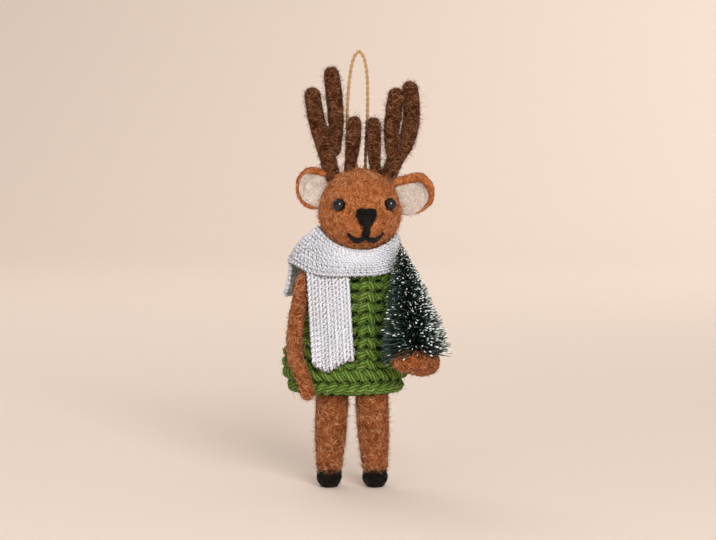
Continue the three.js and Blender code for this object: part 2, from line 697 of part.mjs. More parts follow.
// Eyes: a bead on a shank, pressed into the felt.
function eyeSolid(place, towards, grow) {
  const radius = EYE_DIAMETER / 2 + grow;
  const shank = EYE_SHANK_RADIUS + grow;
  const foot = -EYE_SHANK_LENGTH - grow;
  const profile = [[0, foot], [shank, foot]];
  const start = Math.asin(shank / radius);
  const steps = 6;
  for (let step = 0; step <= steps; step += 1) {
    const turn = THREE.MathUtils.lerp(start, Math.PI, step / steps);
    profile.push([step === steps ? 0 : radius * Math.sin(turn), -radius * Math.cos(turn)]);
  }
  const geometry = turned(profile, 12);
  geometry.applyQuaternion(new THREE.Quaternion().setFromUnitVectors(vec(0, 0, 1), towards));
  geometry.translate(place.x, place.y, place.z);
  return solid(geometry);
}
for (const [side, name] of [[-1, "right"], [1, "left"]]) {
  const bearing = FACE_BEARING + side * EYE_BEARING;
  const place = onHead(bearing, EYE_RISE, EYE_DIAMETER * 0.06);
  const towards = direction(bearing, EYE_RISE);
  add(`eye_${name}`, eyeSolid(place, towards, 0), BEAD);
  head = head.subtract(eyeSolid(place, towards, GAP));
}

// Nose and mouth: outlines on the face, each kept as a pad that follows the felt under it.
const faceTurn = new THREE.Matrix4().makeRotationZ(rad(FACE_TURN));
function facePad(outline, proud) {
  const geometry = new THREE.ExtrudeGeometry(outline, { depth: HEAD_DEPTH, bevelEnabled: false });
  geometry.rotateX(Math.PI / 2);
  geometry.applyMatrix4(faceTurn);
  geometry.translate(HEAD_MIDDLE.x, HEAD_MIDDLE.y, HEAD_MIDDLE.z);
  return solid(geometry).intersect(headSolid(proud)).subtract(headClear);
}

const noseOutline = new THREE.Shape();
const noseHalf = NOSE_WIDTH / 2;
const stemHalf = PHILTRUM_WIDTH / 2;
const noseFoot = NOSE_TOP - NOSE_HEIGHT;
const noseWing = NOSE_TOP - NOSE_HEIGHT * 0.22;
const noseBend = NOSE_TOP - NOSE_HEIGHT * 0.53;
const noseWaist = NOSE_TOP - NOSE_HEIGHT * 0.81;
noseOutline.moveTo(-noseHalf * 0.6, NOSE_TOP);
noseOutline.lineTo(noseHalf * 0.6, NOSE_TOP);
noseOutline.quadraticCurveTo(noseHalf * 1.1, NOSE_TOP, noseHalf, noseWing);
noseOutline.quadraticCurveTo(stemHalf * 1.8, noseBend, stemHalf, noseWaist);
noseOutline.lineTo(stemHalf, noseFoot);
noseOutline.lineTo(-stemHalf, noseFoot);
noseOutline.lineTo(-stemHalf, noseWaist);
noseOutline.quadraticCurveTo(-stemHalf * 1.8, noseBend, -noseHalf, noseWing);
noseOutline.quadraticCurveTo(-noseHalf * 1.1, NOSE_TOP, -noseHalf * 0.6, NOSE_TOP);
add("nose", facePad(noseOutline, NOSE_PROUD), BLACK_FELT);

for (const [side, name] of [[-1, "right"], [1, "left"]]) {
  const top = noseFoot - GAP;
  const near = side * GAP;
  const far = side * (near + MOUTH_WIDTH);
  const middle = (near + side * Math.abs(far)) / 2;
  const outer = side * Math.abs(far);
  const stroke = new THREE.Shape();
  stroke.moveTo(near, top);
  stroke.quadraticCurveTo(middle, top - MOUTH_DIP, outer, top + MOUTH_LIFT);
  stroke.lineTo(outer - side * 0.4, top + MOUTH_LIFT - MOUTH_THICKNESS * 0.7);
  stroke.quadraticCurveTo(middle, top - MOUTH_DIP - MOUTH_THICKNESS * 1.2, near, top - MOUTH_THICKNESS);
  stroke.lineTo(near, top);
  add(`mouth_${name}`, facePad(stroke, MOUTH_PROUD), BLACK_FELT);
}

// Antlers: on each side a beam, an upper tine on the beam and an inner tine on the head.
// Points are offsets from the beam's root on the head, as shares of the antlers' height.
const ANTLERS = [
  {
    name: "right",
    bearing: 176,
    beam: [
      [0, 0, -0.065],
      [-0.067, 0.009, 0.217],
      [-0.135, 0.017, 0.435],
      [-0.187, 0.017, 0.639],
      [-0.209, 0.013, 0.796],
    ],
    upper: [[0.004, 0.07, 0.27], [0.017, 0.083, 0.478], [0.004, 0.087, 0.739], [-0.026, 0.087, 1]],
    inner: [[0.139, -0.035, -0.022], [0.161, -0.039, 0.174], [0.183, -0.039, 0.391], [0.193, -0.035, 0.53]],
  },
  {
    name: "left",
    bearing: 4,
    beam: [
      [0, 0, -0.065],
      [0.091, 0.009, 0.174],
      [0.189, 0.017, 0.326],
      [0.246, 0.022, 0.522],
      [0.252, 0.017, 0.696],
      [0.237, 0.013, 0.857],
    ],
    upper: [[0.066, -0.057, 0.23], [0.056, -0.065, 0.435], [0.08, -0.065, 0.639], [0.095, -0.061, 0.796]],
    inner: [[-0.085, -0.035, 0], [-0.107, -0.039, 0.196], [-0.115, -0.039, 0.391], [-0.115, -0.035, 0.517]],
  },
];
const antlerClear = {};
for (const { name, bearing, beam, upper, inner } of ANTLERS) {
  const root = onHead(bearing, ANTLER_RISE);
  const offset = ([x, y, z]) => vec(x, y, z).multiplyScalar(ANTLER_HEIGHT).add(root);
  const route = (offsets) => offsets.map(offset);
  const beamPoints = route(beam);
  const beamRadii = [ANTLER_RADIUS * 0.95, ANTLER_RADIUS, ANTLER_RADIUS * 1.02, ANTLER_RADIUS * 0.96];
  const along = beamPoints[1].clone().sub(beamPoints[0]).normalize();
  const pinFrom = root.clone().addScaledVector(along, -ANTLER_PIN_REACH);
  const pinTo = root.clone().addScaledVector(along, ANTLER_PIN_REACH);
  const pinBore = rod(
    pinFrom.clone().addScaledVector(along, -WIRE_PLAY),
    pinTo.clone().addScaledVector(along, WIRE_PLAY),
    ANTLER_PIN_RADIUS + WIRE_PLAY,
  );
  const beamClear = limb(beamPoints, beamRadii, { grow: GAP, steps: 9 });
  antlerClear[name] = beamClear;
  const upperRadii = [TINE_RADIUS * 0.8, TINE_RADIUS, TINE_RADIUS * 1.1, TINE_RADIUS];
  const innerRadii = [TINE_RADIUS * 0.72, TINE_RADIUS * 0.76, TINE_RADIUS, TINE_RADIUS * 0.94];
  const beamBody = limb(beamPoints, beamRadii, { steps: 9 }).subtract(headClear).subtract(pinBore);
  const upperBody = limb(route(upper), upperRadii, { steps: 8 }).subtract(beamClear);
  const innerBody = limb(route(inner), innerRadii, { steps: 7 }).subtract(beamClear).subtract(headClear);
  add(`antler_${name}_beam`, beamBody, DARK_FELT);
  add(`antler_${name}_upper_tine`, upperBody, DARK_FELT);
  add(`antler_${name}_inner_tine`, innerBody, DARK_FELT);
  add(`antler_${name}_pin`, rod(pinFrom, pinTo, ANTLER_PIN_RADIUS), STEEL);
  head = head.subtract(pinBore);
}

// Ears: a felt cup with a white lining, facing forward, cut to the side of the head.
function dish(reach, depth, wall) {
  const profile = [];
  const steps = 4;
  for (let step = 0; step <= steps; step += 1) {
    const turn = rad((90 * step) / steps);
    profile.push([reach * Math.sin(turn), -depth * Math.cos(turn)]);
  }
  for (let step = steps; step >= 0; step -= 1) {
    const turn = rad((90 * step) / steps);
    profile.push([step ? (reach - wall) * Math.sin(turn) : 0, -(depth - wall) * Math.cos(turn)]);
  }
  return turned(profile, 16);
}
const EARS = [
  { name: "right", bearing: 178, rise: 27, out: 0, size: 1, yaw: -14, lean: 4 },
  { name: "left", bearing: 4, rise: 18, out: 3.4, size: 0.95, yaw: 14, lean: -14 },
];
for (const { name, bearing, rise, out, size, yaw, lean } of EARS) {
  const place = onHead(bearing, rise, EAR_STANDOFF + out);
  const seat = (geometry) => {
    geometry.scale((size * EAR_WIDTH) / EAR_HEIGHT, size, 1);
    geometry.rotateZ(rad(lean));
    geometry.rotateX(Math.PI / 2);
    geometry.rotateZ(rad(yaw));
    geometry.translate(place.x, place.y, place.z);
    const cut = solid(geometry).subtract(headClear).subtract(antlerClear[name]);
    return cut.decompose().reduce((kept, other) => (other.volume() > kept.volume() ? other : kept));
  };
  const inner = EAR_WALL + GAP;
  add(`ear_${name}`, seat(dish(EAR_HEIGHT / 2, EAR_DEPTH, EAR_WALL)), BROWN_FELT);
  add(`ear_${name}_lining`, seat(dish(EAR_HEIGHT / 2 - inner, EAR_DEPTH - inner, EAR_LINING)), WHITE_FELT);
}

// Hanging loop: jute twine standing up from the crown, its knot felted into the head.
// Points are offsets from the middle of the two strands on the crown.
const twineRadius = TWINE_DIAMETER / 2;
const HANGER_ROOT = onHead(84, 71, 0);
const HANGER_LIFT = twineRadius + GAP; // the strands turn here, just above the felt
const HANGER_POINTS = [
  [1.8, 0, 0], [1.9, 0, 5], [2.1, 0, 11], [2.5, 0.1, 18], [2.8, 0.2, 25], [2.9, 0.3, 32],
  [2.8, 0.4, 39], [2.3, 0.4, 45], [1.2, 0.4, 50], [-0.8, 0.4, 52.6], [-2.8, 0.4, 51],
  [-4.4, 0.4, 46], [-5.4, 0.4, 39], [-6, 0.3, 32], [-6.3, 0.2, 25], [-6.3, 0.1, 18],
  [-5, 0, 11], [-3, 0, 5], [-1.8, 0, 0],
];
const hangerBase = HANGER_ROOT.clone().add(vec(0, 0, HANGER_LIFT));
const hangerCurve = new THREE.CatmullRomCurve3(
  HANGER_POINTS.map(([x, y, z]) => vec(x, y, z).add(hangerBase)),
);
const twineSection = new THREE.Shape();
twineSection.absarc(0, 0, twineRadius, 0, 2 * Math.PI);
let hanger = solid(
  new THREE.ExtrudeGeometry(twineSection, { extrudePath: hangerCurve, steps: 26, curveSegments: 4 }),
);
for (const [x, y, z] of [HANGER_POINTS[0], HANGER_POINTS[HANGER_POINTS.length - 1]]) {
  const ball = new THREE.SphereGeometry(twineRadius, 8, 6);
  ball.translate(hangerBase.x + x, hangerBase.y + y, hangerBase.z + z);
  hanger = hanger.add(solid(ball));
}
let knot = null;
let knotRoom = null;
const knotMiddle = HANGER_ROOT.clone().add(vec(0, 0, -KNOT_DEPTH));
for (const grow of [0, GAP]) {
  const ball = new THREE.SphereGeometry(KNOT_RADIUS + grow, 10, 6);
  ball.scale(1.5, 1, 0.9);
  ball.translate(knotMiddle.x, knotMiddle.y, knotMiddle.z);
  let body = solid(ball);
  for (const end of [HANGER_POINTS[0], HANGER_POINTS[HANGER_POINTS.length - 1]]) {
    const top = HANGER_ROOT.clone().add(vec(end[0], end[1], grow ? 3 : 0));
    const low = knotMiddle.clone().add(vec(end[0] * 0.7, 0, 0));
    body = body.add(rod(low, top, twineRadius + grow));
  }
  if (grow) knotRoom = body;
  else knot = body;
}
head = head.subtract(knotRoom);
add("hanger_loop", hanger, JUTE);
add("hanger_knot", knot, JUTE);
add("head", head, BROWN_FELT);

// Scarf wrap: a band from the sweater's shoulders up under the head, spread over the right shoulder.
const half = SCARF_THICKNESS / 2;
function overShoulder(bearing) {
  const away = (((bearing - WRAP_DRAPE_BEARING + 540) % 360) - 180) / 42;
  return Math.exp(-away * away);
}
function wrapLow(bearing) {
  const front = 0.5 - 0.5 * Math.sin(rad(bearing));
  const dip = THREE.MathUtils.smoothstep(front, 0.55, 1);
  const rise = THREE.MathUtils.lerp(WRAP_SIDE_RISE, WRAP_FRONT_RISE, dip);
  return besideSweater(HEM_HEIGHT + rise, bearing, GAP + half + 1.2 + WRAP_DRAPE * overShoulder(bearing));
}
function wrapHigh(bearing) {
  const front = 0.5 - 0.5 * Math.sin(rad(bearing));
  const tuck = THREE.MathUtils.lerp(-34, -64, THREE.MathUtils.smoothstep(front, 0.3, 1));
  const rise = tuck + 9 * overShoulder(bearing);
  let reach = 0;
  for (let turn = 0; turn < 360; turn += 10) reach = Math.max(reach, headReach(direction(turn, rise)));
  return HEAD_MIDDLE.clone().addScaledVector(direction(bearing, rise), reach + GAP + half + 0.6);
}
const wrap = sheet(
  (u, v, face) => {
    const bearing = 360 * v;
    const low = wrapLow(bearing);
    const high = wrapHigh(bearing);
    const outward = vec(Math.cos(rad(bearing)), Math.sin(rad(bearing)), 0);
    const up = high.clone().sub(low).normalize();
    const normal = outward.clone().addScaledVector(up, -outward.dot(up)).normalize();
    const rounding = Math.sqrt(Math.max(0.2, 1 - (2 * u - 1) ** 6));
    const bulge = 1.6 * Math.sin(Math.PI * u);
    return low.lerp(high, u).addScaledVector(normal, bulge + face * half * rounding);
  },
  5,
  36,
  true,
);
add("scarf_wrap", wrap, WHITE_KNIT);

// Front tail: hangs from the wrap's lower edge over the front of the sweater.
const tailTop = HEM_HEIGHT + WRAP_FRONT_RISE - half - GAP;
const tailMiddle = TAIL_SHIFT;
function tailDepth(height) {
  return sweaterHalfWidth(height) * BODY_DEPTH_SHARE + GAP + half;
}
const frontTail = sheet(
  (u, v, face) => {
    const rounded = Math.min(v * TAIL_LENGTH, half);
    const height = tailTop + half - v * TAIL_LENGTH;
    const thick = v === 0 ? half * 0.3 : Math.sqrt(half * half - (half - rounded) ** 2);
    const wave = v === 1 ? TAIL_WAVE * Math.sin(u * 9) : 0;
    const across = (u - 0.5) * TAIL_WIDTH;
    const x = tailMiddle + across + TAIL_DRIFT * v;
    const cup = TAIL_CUP * (1 - u) ** 2;
    const lie = Math.max(tailDepth(height), tailDepth(height - TAIL_LEE), tailDepth(height + TAIL_LEE));
    return vec(x, -lie + cup - face * thick, height + wave);
  },
  5,
  16,
);
add("scarf_front_tail", frontTail, WHITE_KNIT);

// Back tail: a short flap that hangs off the wrap behind the right shoulder, clear of the sweater.
const flapRoot = wrapLow(FLAP_BEARING);
flapRoot.z -= half * 1.3 + GAP;
const flapOut = besideSweater(flapRoot.z, FLAP_BEARING, 1).sub(besideSweater(flapRoot.z, FLAP_BEARING, 0));
const flapAlong = vec(-flapOut.y, flapOut.x, 0);
const backTail = sheet(
  (u, v, face) => {
    const rounded = Math.min(v * FLAP_LENGTH, half);
    const thick = v === 0 ? half * 0.3 : Math.sqrt(half * half - (half - rounded) ** 2);
    const point = flapRoot.clone().addScaledVector(flapAlong, (u - 0.5) * FLAP_WIDTH);
    point.z += half - v * FLAP_LENGTH;
    const clear = besideSweater(point.z, FLAP_BEARING, half + GAP).sub(flapRoot).dot(flapOut);
    return point.addScaledVector(flapOut, Math.max(clear, 0) + face * thick);
  },
  4,
  8,
);
add("scarf_back_tail", backTail, WHITE_KNIT);

// Stand the deer with the middle of its base on the origin; the hanging loop isn't counted.
deer.updateMatrixWorld(true);
const box = new THREE.Box3();
for (const piece of deer.children) {
  if (piece.name !== "hanger_loop") box.expandByObject(piece, true);
}
const middle = box.getCenter(vec(0, 0, 0));
deer.position.set(-middle.x, -middle.y, -box.min.z);

export default deer;
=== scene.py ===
# %% [markdown]
# # A felted deer ornament
# This lesson dresses the measured model of a small wool deer. The measured solids give every
# place and size. Blender gives the wool, the knitting, the twine and the tree's bristles.
# Everything is in metres, with +Z up, and the deer faces -Y.

import math

import bpy
import numpy as np
from mathutils import Matrix, Vector
from mathutils.bvhtree import BVHTree


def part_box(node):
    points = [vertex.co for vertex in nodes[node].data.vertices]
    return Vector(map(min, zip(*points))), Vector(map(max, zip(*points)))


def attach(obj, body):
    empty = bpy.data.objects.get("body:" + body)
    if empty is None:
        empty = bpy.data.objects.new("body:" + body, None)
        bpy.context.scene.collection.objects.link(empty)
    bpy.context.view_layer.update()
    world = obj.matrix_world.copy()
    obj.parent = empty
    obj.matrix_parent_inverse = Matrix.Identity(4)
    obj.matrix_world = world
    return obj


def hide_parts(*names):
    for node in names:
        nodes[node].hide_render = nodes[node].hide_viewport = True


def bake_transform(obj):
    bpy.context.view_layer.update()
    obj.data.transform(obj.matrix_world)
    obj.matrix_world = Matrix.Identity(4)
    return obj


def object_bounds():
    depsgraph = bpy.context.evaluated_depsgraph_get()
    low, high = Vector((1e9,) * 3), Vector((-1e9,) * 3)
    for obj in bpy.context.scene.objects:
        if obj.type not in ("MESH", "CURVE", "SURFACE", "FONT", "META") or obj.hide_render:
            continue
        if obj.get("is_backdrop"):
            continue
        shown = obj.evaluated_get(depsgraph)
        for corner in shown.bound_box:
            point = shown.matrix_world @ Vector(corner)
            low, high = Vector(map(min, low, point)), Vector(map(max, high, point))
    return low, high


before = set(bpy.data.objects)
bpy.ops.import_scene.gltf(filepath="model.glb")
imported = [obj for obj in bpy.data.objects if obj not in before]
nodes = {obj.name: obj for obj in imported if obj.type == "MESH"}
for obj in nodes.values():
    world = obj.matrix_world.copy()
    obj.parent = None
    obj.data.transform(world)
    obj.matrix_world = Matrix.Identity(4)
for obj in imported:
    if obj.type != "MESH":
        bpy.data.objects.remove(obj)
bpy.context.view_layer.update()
MM = 0.001
print("measured pieces:", len(nodes))

# %% [markdown]
# ## Camera
# The photograph looks at the deer almost level, from a little above. A long lens keeps the
# hooves and the antlers at one scale. The distance follows from the lens and from the size of
# one pixel at the deer, so the render has the photograph's frame.

# %% Camera
PHOTO_WIDE = 716
PIXEL = 0.4462 * MM
AIM = Vector((-2.7 * MM, 0, 99.1 * MM))
LENS = 110
SENSOR = 36
LOOK_DOWN = math.radians(4.5)
camera_reach = PHOTO_WIDE * PIXEL * LENS / SENSOR
camera_place = AIM + Vector((0, -math.cos(LOOK_DOWN), math.sin(LOOK_DOWN))) * camera_reach
bpy.ops.object.select_all(action="DESELECT")
bpy.ops.object.camera_add(location=camera_place, rotation=(math.pi / 2 - LOOK_DOWN, 0, 0))
camera = bpy.context.object
camera.data.lens = LENS
camera.data.sensor_width = SENSOR
bpy.context.scene.camera = camera
print("camera stands off by", round(camera_reach, 3), "m")

# %% [markdown]
# ## Colours and a first material
# Colours are written as they look on a screen, 0 to 255, and turned into the linear values
# that Blender's sockets take. Each finish below starts from one Principled shader.

# %% Colour and material helpers


def screen(red, green, blue):
    """A screen colour as the linear colour that a socket takes."""
    linear = []
    for value in (red, green, blue):
        share = value / 255
        linear.append(share / 12.92 if share < 0.04045 else ((share + 0.055) / 1.055) ** 2.4)
    return (*linear, 1)


def start_material(name):
    """A new material, its node tree and its shader."""
    material = bpy.data.materials.new(name)
    material.use_nodes = True
    return material, material.node_tree, material.node_tree.nodes["Principled BSDF"]


def add_node(graph, kind, **settings):
    """A new node, with its inputs set by name."""
    node = graph.nodes.new(kind)
    for label, value in settings.items():
        node.inputs[label.replace("_", " ")].default_value = value
    return node


def add_ramp(graph, source, stops):
    """A colour ramp fed by source, with stops of place and colour."""
    ramp = graph.nodes.new("ShaderNodeValToRGB")
    elements = ramp.color_ramp.elements
    while len(elements) < len(stops):
        elements.new(0.5)
    for element, (place, colour) in zip(elements, stops):
        element.position = place
        element.color = colour
    graph.links.new(source, ramp.inputs["Fac"])
    return ramp.outputs["Color"]


def add_bump(graph, shader, source, strength, height):
    """Small relief on the surface, height in millimetres."""
    bump = add_node(graph, "ShaderNodeBump", Strength=strength, Distance=height * MM)
    graph.links.new(source, bump.inputs["Height"])
    graph.links.new(bump.outputs["Normal"], shader.inputs["Normal"])


print("material helpers ready")

# %% [markdown]
# ## Tubes
# Twine, yarn and wool fibres are all long thin tubes. One helper sweeps a ring of points along
# many paths at once. The ring is carried along without spinning, then given the yarn's twist.
# Blender's own curve bevel could do this, but a mesh keeps a map along the yarn for its plies.

# %% Vector helpers


def unit(vectors):
    """Vectors made one long."""
    return vectors / np.maximum(np.linalg.norm(vectors, axis=-1, keepdims=True), 1e-12)


def dot(one, other):
    """Dot products of vectors, kept as a last axis of one."""
    return np.sum(one * other, axis=-1, keepdims=True)


def ease(value, low, high):
    """A smooth step from 0 at low to 1 at high."""
    t = np.clip((np.asarray(value, float) - low) / (high - low), 0, 1)
    return t * t * (3 - 2 * t)


def carried_frames(paths, closed):
    """Tangents and side vectors along the paths, carried on without spinning."""
    if closed:
        tangent = unit(np.roll(paths, -1, 1) - np.roll(paths, 1, 1))
    else:
        tangent = unit(np.gradient(paths, axis=1))
    level = np.abs(tangent[:, 0, 2:3]) < 0.9
    helper = np.where(level, np.array([0.0, 0, 1]), np.array([1.0, 0, 0]))
    side = unit(np.cross(tangent[:, 0], helper))
    sides = [side]
    for step in range(1, paths.shape[1]):
        side = unit(side - tangent[:, step] * dot(side, tangent[:, step]))
        sides.append(side)
    return tangent, np.stack(sides, 1)


print("vector helpers ready")

# %% Mesh helper


def new_mesh(name, points, faces, corner_map=None, tone=None):
    """An object from arrays: points, a list of face arrays, a map per corner, a tone per point."""
    mesh = bpy.data.meshes.new(name)
    loops = np.concatenate([block.ravel() for block in faces]).astype(np.int32)
    totals = np.concatenate([np.full(len(block), block.shape[1]) for block in faces])
    starts = np.concatenate([[0], np.cumsum(totals)[:-1]])
    mesh.vertices.add(len(points))
    mesh.vertices.foreach_set("co", np.asarray(points, np.float32).ravel())
    mesh.loops.add(len(loops))
    mesh.loops.foreach_set("vertex_index", loops)
    mesh.polygons.add(len(totals))
    mesh.polygons.foreach_set("loop_start", starts.astype(np.int32))
    mesh.polygons.foreach_set("loop_total", totals.astype(np.int32))
    mesh.polygons.foreach_set("use_smooth", np.ones(len(totals), bool))
    if corner_map is not None:
        layer = mesh.uv_layers.new(name="along")
        layer.data.foreach_set("uv", np.asarray(corner_map, np.float32).ravel())
    if tone is not None:
        layer = mesh.attributes.new("tone", "FLOAT", "POINT")
        layer.data.foreach_set("value", np.asarray(tone, np.float32).ravel())
    mesh.update(calc_edges=True)
    piece = bpy.data.objects.new(name, mesh)
    bpy.context.collection.objects.link(piece)
    return piece


print("mesh helper ready")

# %% Tube helper


def tube_mesh(name, paths, radius, sides, closed=False, plies=0, groove=0.0, lay=0.0, tone=None):
    """Tubes along paths (tube, step, xyz). plies, groove and lay give the twist of a yarn."""
    paths = np.asarray(paths, float)
    count, steps = paths.shape[:2]
    tangent, side = carried_frames(paths, closed)
    other = np.cross(tangent, side)
    length = np.concatenate(
        [np.zeros((count, 1)), np.cumsum(np.linalg.norm(np.diff(paths, axis=1), axis=2), 1)], 1
    )
    spin = 2 * np.pi * length * (1 / lay if lay else 0)
    if closed:
        last = side[:, -1] - tangent[:, 0] * dot(side[:, -1], tangent[:, 0])
        slip = np.arctan2(dot(last, other[:, 0]), dot(last, side[:, 0]))
        turns = np.round((spin[:, -1:] + slip) / (2 * np.pi))
        spin = (2 * np.pi * turns - slip) * (np.arange(steps) / steps)
    ring = 2 * np.pi * np.arange(sides) / sides
    swell = 1 + groove * np.cos(plies * ring)
    angle = ring + spin[:, :, None]
    thick = np.broadcast_to(np.asarray(radius, float), (count, steps))[:, :, None] * swell
    points = (
        paths[:, :, None, :]
        + side[:, :, None, :] * (np.cos(angle) * thick)[..., None]
        + other[:, :, None, :] * (np.sin(angle) * thick)[..., None]
    )
    each = steps * sides
    spans = steps if closed else steps - 1
    step, k = np.meshgrid(np.arange(spans), np.arange(sides), indexing="ij")
    after, beside = (step + 1) % steps, (k + 1) % sides
    quad = np.stack(
        [step * sides + k, step * sides + beside, after * sides + beside, after * sides + k], -1
    ).reshape(-1, 4)
    base = (np.arange(count) * each)[:, None, None]
    faces = [(quad[None] + base).reshape(-1, 4)]
    grown = np.concatenate([length, length[:, -1:] + length[:, 1:2]], 1)
    around = np.stack([k, k + 1, k + 1, k], -1).reshape(-1, 4) / sides
    rise = grown[:, np.stack([step, step, step + 1, step + 1], -1).reshape(-1, 4)]
    corners = [np.stack([np.broadcast_to(around, rise.shape), rise / MM], -1).reshape(-1, 2)]
    points = points.reshape(-1, 3)
    tones = None
    if tone is not None:
        tones = np.repeat(np.broadcast_to(tone, (count, steps)).reshape(-1), sides)
    if not closed:
        ends = np.arange(sides)
        first = ends[::-1][None] + base[:, 0]
        last = (steps - 1) * sides + ends[None] + base[:, 0]
        faces += [first, last]
        for reached in (length[:, 0], length[:, -1]):
            flat = np.stack([np.full(count, 0.5), reached / MM], -1)
            corners.append(np.repeat(flat, sides, 0))
    return new_mesh(name, points, faces, np.concatenate(corners), tones)


print("tube helper ready")

# %% [markdown]
# ## Hanging loop
# The loop is two-ply jute twine, 1.6 mm thick, that stands up from a knot in the crown. Its
# route repeats the measured one, from the middle of its two feet. Two strands wind round that
# route, as the plies of real twine do, and a material with streaks along each strand gives the
# dry golden fibre.

# %% Jute finish
jute, graph, shader = start_material("jute_twine")
shader.inputs["Roughness"].default_value = 0.9
shader.inputs["Sheen Weight"].default_value = 0.05
along = add_node(graph, "ShaderNodeUVMap")
along.uv_map = "along"
stretch = add_node(graph, "ShaderNodeMapping", Scale=(9, 0.55, 1))
graph.links.new(along.outputs["UV"], stretch.inputs["Vector"])
streaks = add_node(graph, "ShaderNodeTexNoise", Scale=2.2, Detail=6, Roughness=0.7)
graph.links.new(stretch.outputs["Vector"], streaks.inputs["Vector"])
straw = [(0.34, screen(104, 70, 36)), (0.5, screen(178, 136, 88)), (0.64, screen(230, 200, 150))]
graph.links.new(add_ramp(graph, streaks.outputs["Fac"], straw), shader.inputs["Base Color"])
add_bump(graph, shader, streaks.outputs["Fac"], 0.7, 0.25)
print("finish:", jute.name)

# %% Twine loop
TWINE_ROOT = (-1.244, 14.454, 143.719)
TWINE_ROUTE = [
    (1.8, 0, 0), (1.9, 0, 5), (2.1, 0, 11), (2.5, 0.1, 18), (2.8, 0.2, 25), (2.9, 0.3, 32),
    (2.8, 0.4, 39), (2.3, 0.4, 45), (1.2, 0.4, 50), (-0.8, 0.4, 52.6), (-2.8, 0.4, 51),
    (-4.4, 0.4, 46), (-5.4, 0.4, 39), (-6, 0.3, 32), (-6.3, 0.2, 25), (-6.3, 0.1, 18),
    (-5, 0, 11), (-3, 0, 5), (-1.8, 0, 0),
]
TWINE_LAY = 5 * MM
STRAND_OFF_AXIS = 0.4 * MM
STRAND_RADIUS = 0.42 * MM


def smooth_route(points, per_span):
    """A smooth line through points, with per_span steps between neighbours."""
    points = np.asarray(points, float)
    padded = np.concatenate([[2 * points[0] - points[1]], points, [2 * points[-1] - points[-2]]])
    line = []
    for a, b, c, d in zip(padded, padded[1:], padded[2:], padded[3:]):
        for t in np.arange(per_span) / per_span:
            bend = (-a + c) * t + (2 * a - 5 * b + 4 * c - d) * t**2
            line.append(b + 0.5 * (bend + (-a + 3 * b - 3 * c + d) * t**3))
    return np.array(line + [points[-1]])


twine_line = smooth_route((np.array(TWINE_ROUTE) + TWINE_ROOT) * MM, 26)
tangent, side = carried_frames(twine_line[None], False)
other = np.cross(tangent, side)[0]
steps_along = np.concatenate([[0], np.cumsum(np.linalg.norm(np.diff(twine_line, axis=0), axis=1))])
strands = []
for start in (0, math.pi):
    wind = (2 * math.pi * steps_along / TWINE_LAY + start)[:, None]
    strands.append(twine_line + STRAND_OFF_AXIS * (np.cos(wind) * side[0] + np.sin(wind) * other))
random = np.random.default_rng(11)
uneven = STRAND_RADIUS * (1 + 0.07 * random.standard_normal((2, len(twine_line))))
twine = tube_mesh("twine_loop", strands, uneven, 10, plies=5, groove=0.05, lay=-2.4 * MM)
twine.data.materials.append(jute)
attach(twine, "hanger")
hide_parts("hanger_loop")
print("twine runs", round(steps_along[-1] / MM, 1), "mm")

# %% [markdown]
# ## Floor and backdrop
# The deer stands on a seamless sheet of warm beige paper. A plane is extruded upwards at its
# far edge and the fold is bevelled into a wide sweep, so that no line shows behind the deer.

# %% Paper sweep
PAPER_SIZE, PAPER_MIDDLE, PAPER_RISE = 6, (0, -0.6, 0), 3
FAR_SIDE = 2
SWEEP_WIDE, SWEEP_STEPS = 1.0, 14
bpy.ops.object.select_all(action="DESELECT")
bpy.ops.mesh.primitive_plane_add(size=PAPER_SIZE, location=PAPER_MIDDLE)
paper = bpy.context.object
paper.name = "paper_sweep"
bpy.ops.object.transform_apply(location=True)
bpy.ops.object.mode_set(mode="EDIT")
bpy.ops.mesh.select_all(action="DESELECT")
bpy.ops.object.mode_set(mode="OBJECT")
for edge in paper.data.edges:
    edge.select = all(paper.data.vertices[v].co.y > FAR_SIDE for v in edge.vertices)
bpy.ops.object.mode_set(mode="EDIT")
bpy.ops.mesh.select_mode(type="EDGE")
bpy.ops.mesh.extrude_region_move(TRANSFORM_OT_translate={"value": (0, 0, PAPER_RISE)})
bpy.ops.object.mode_set(mode="OBJECT")
for edge in paper.data.edges:
    ends = [paper.data.vertices[v].co for v in edge.vertices]
    edge.select = all(end.y > FAR_SIDE and end.z < 0.1 for end in ends)
bpy.ops.object.mode_set(mode="EDIT")
bpy.ops.mesh.bevel(offset=SWEEP_WIDE, segments=SWEEP_STEPS)
bpy.ops.object.mode_set(mode="OBJECT")
bpy.ops.object.shade_smooth()
paper_finish, graph, shader = start_material("beige_paper")
shader.inputs["Roughness"].default_value = 0.9
spot = add_node(graph, "ShaderNodeTexCoord")
grain = add_node(graph, "ShaderNodeTexNoise", Scale=900, Detail=3)
graph.links.new(spot.outputs["Object"], grain.inputs["Vector"])
beige = [(0.3, screen(233, 215, 200)), (0.7, screen(237, 219, 205))]
graph.links.new(add_ramp(graph, grain.outputs["Fac"], beige), shader.inputs["Base Color"])
paper.data.materials.append(paper_finish)
paper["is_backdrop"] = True
print("paper sweep faces:", len(paper.data.polygons))

# %% [markdown]
# ## Light
# One large soft lamp stands in front, above and a little to the deer's left. A weaker one stands
# low at its right and is kept out of reflections, so that each eye has one glint. One lights the
# deer from behind and one lights the paper. A pale sky fills the shadows.

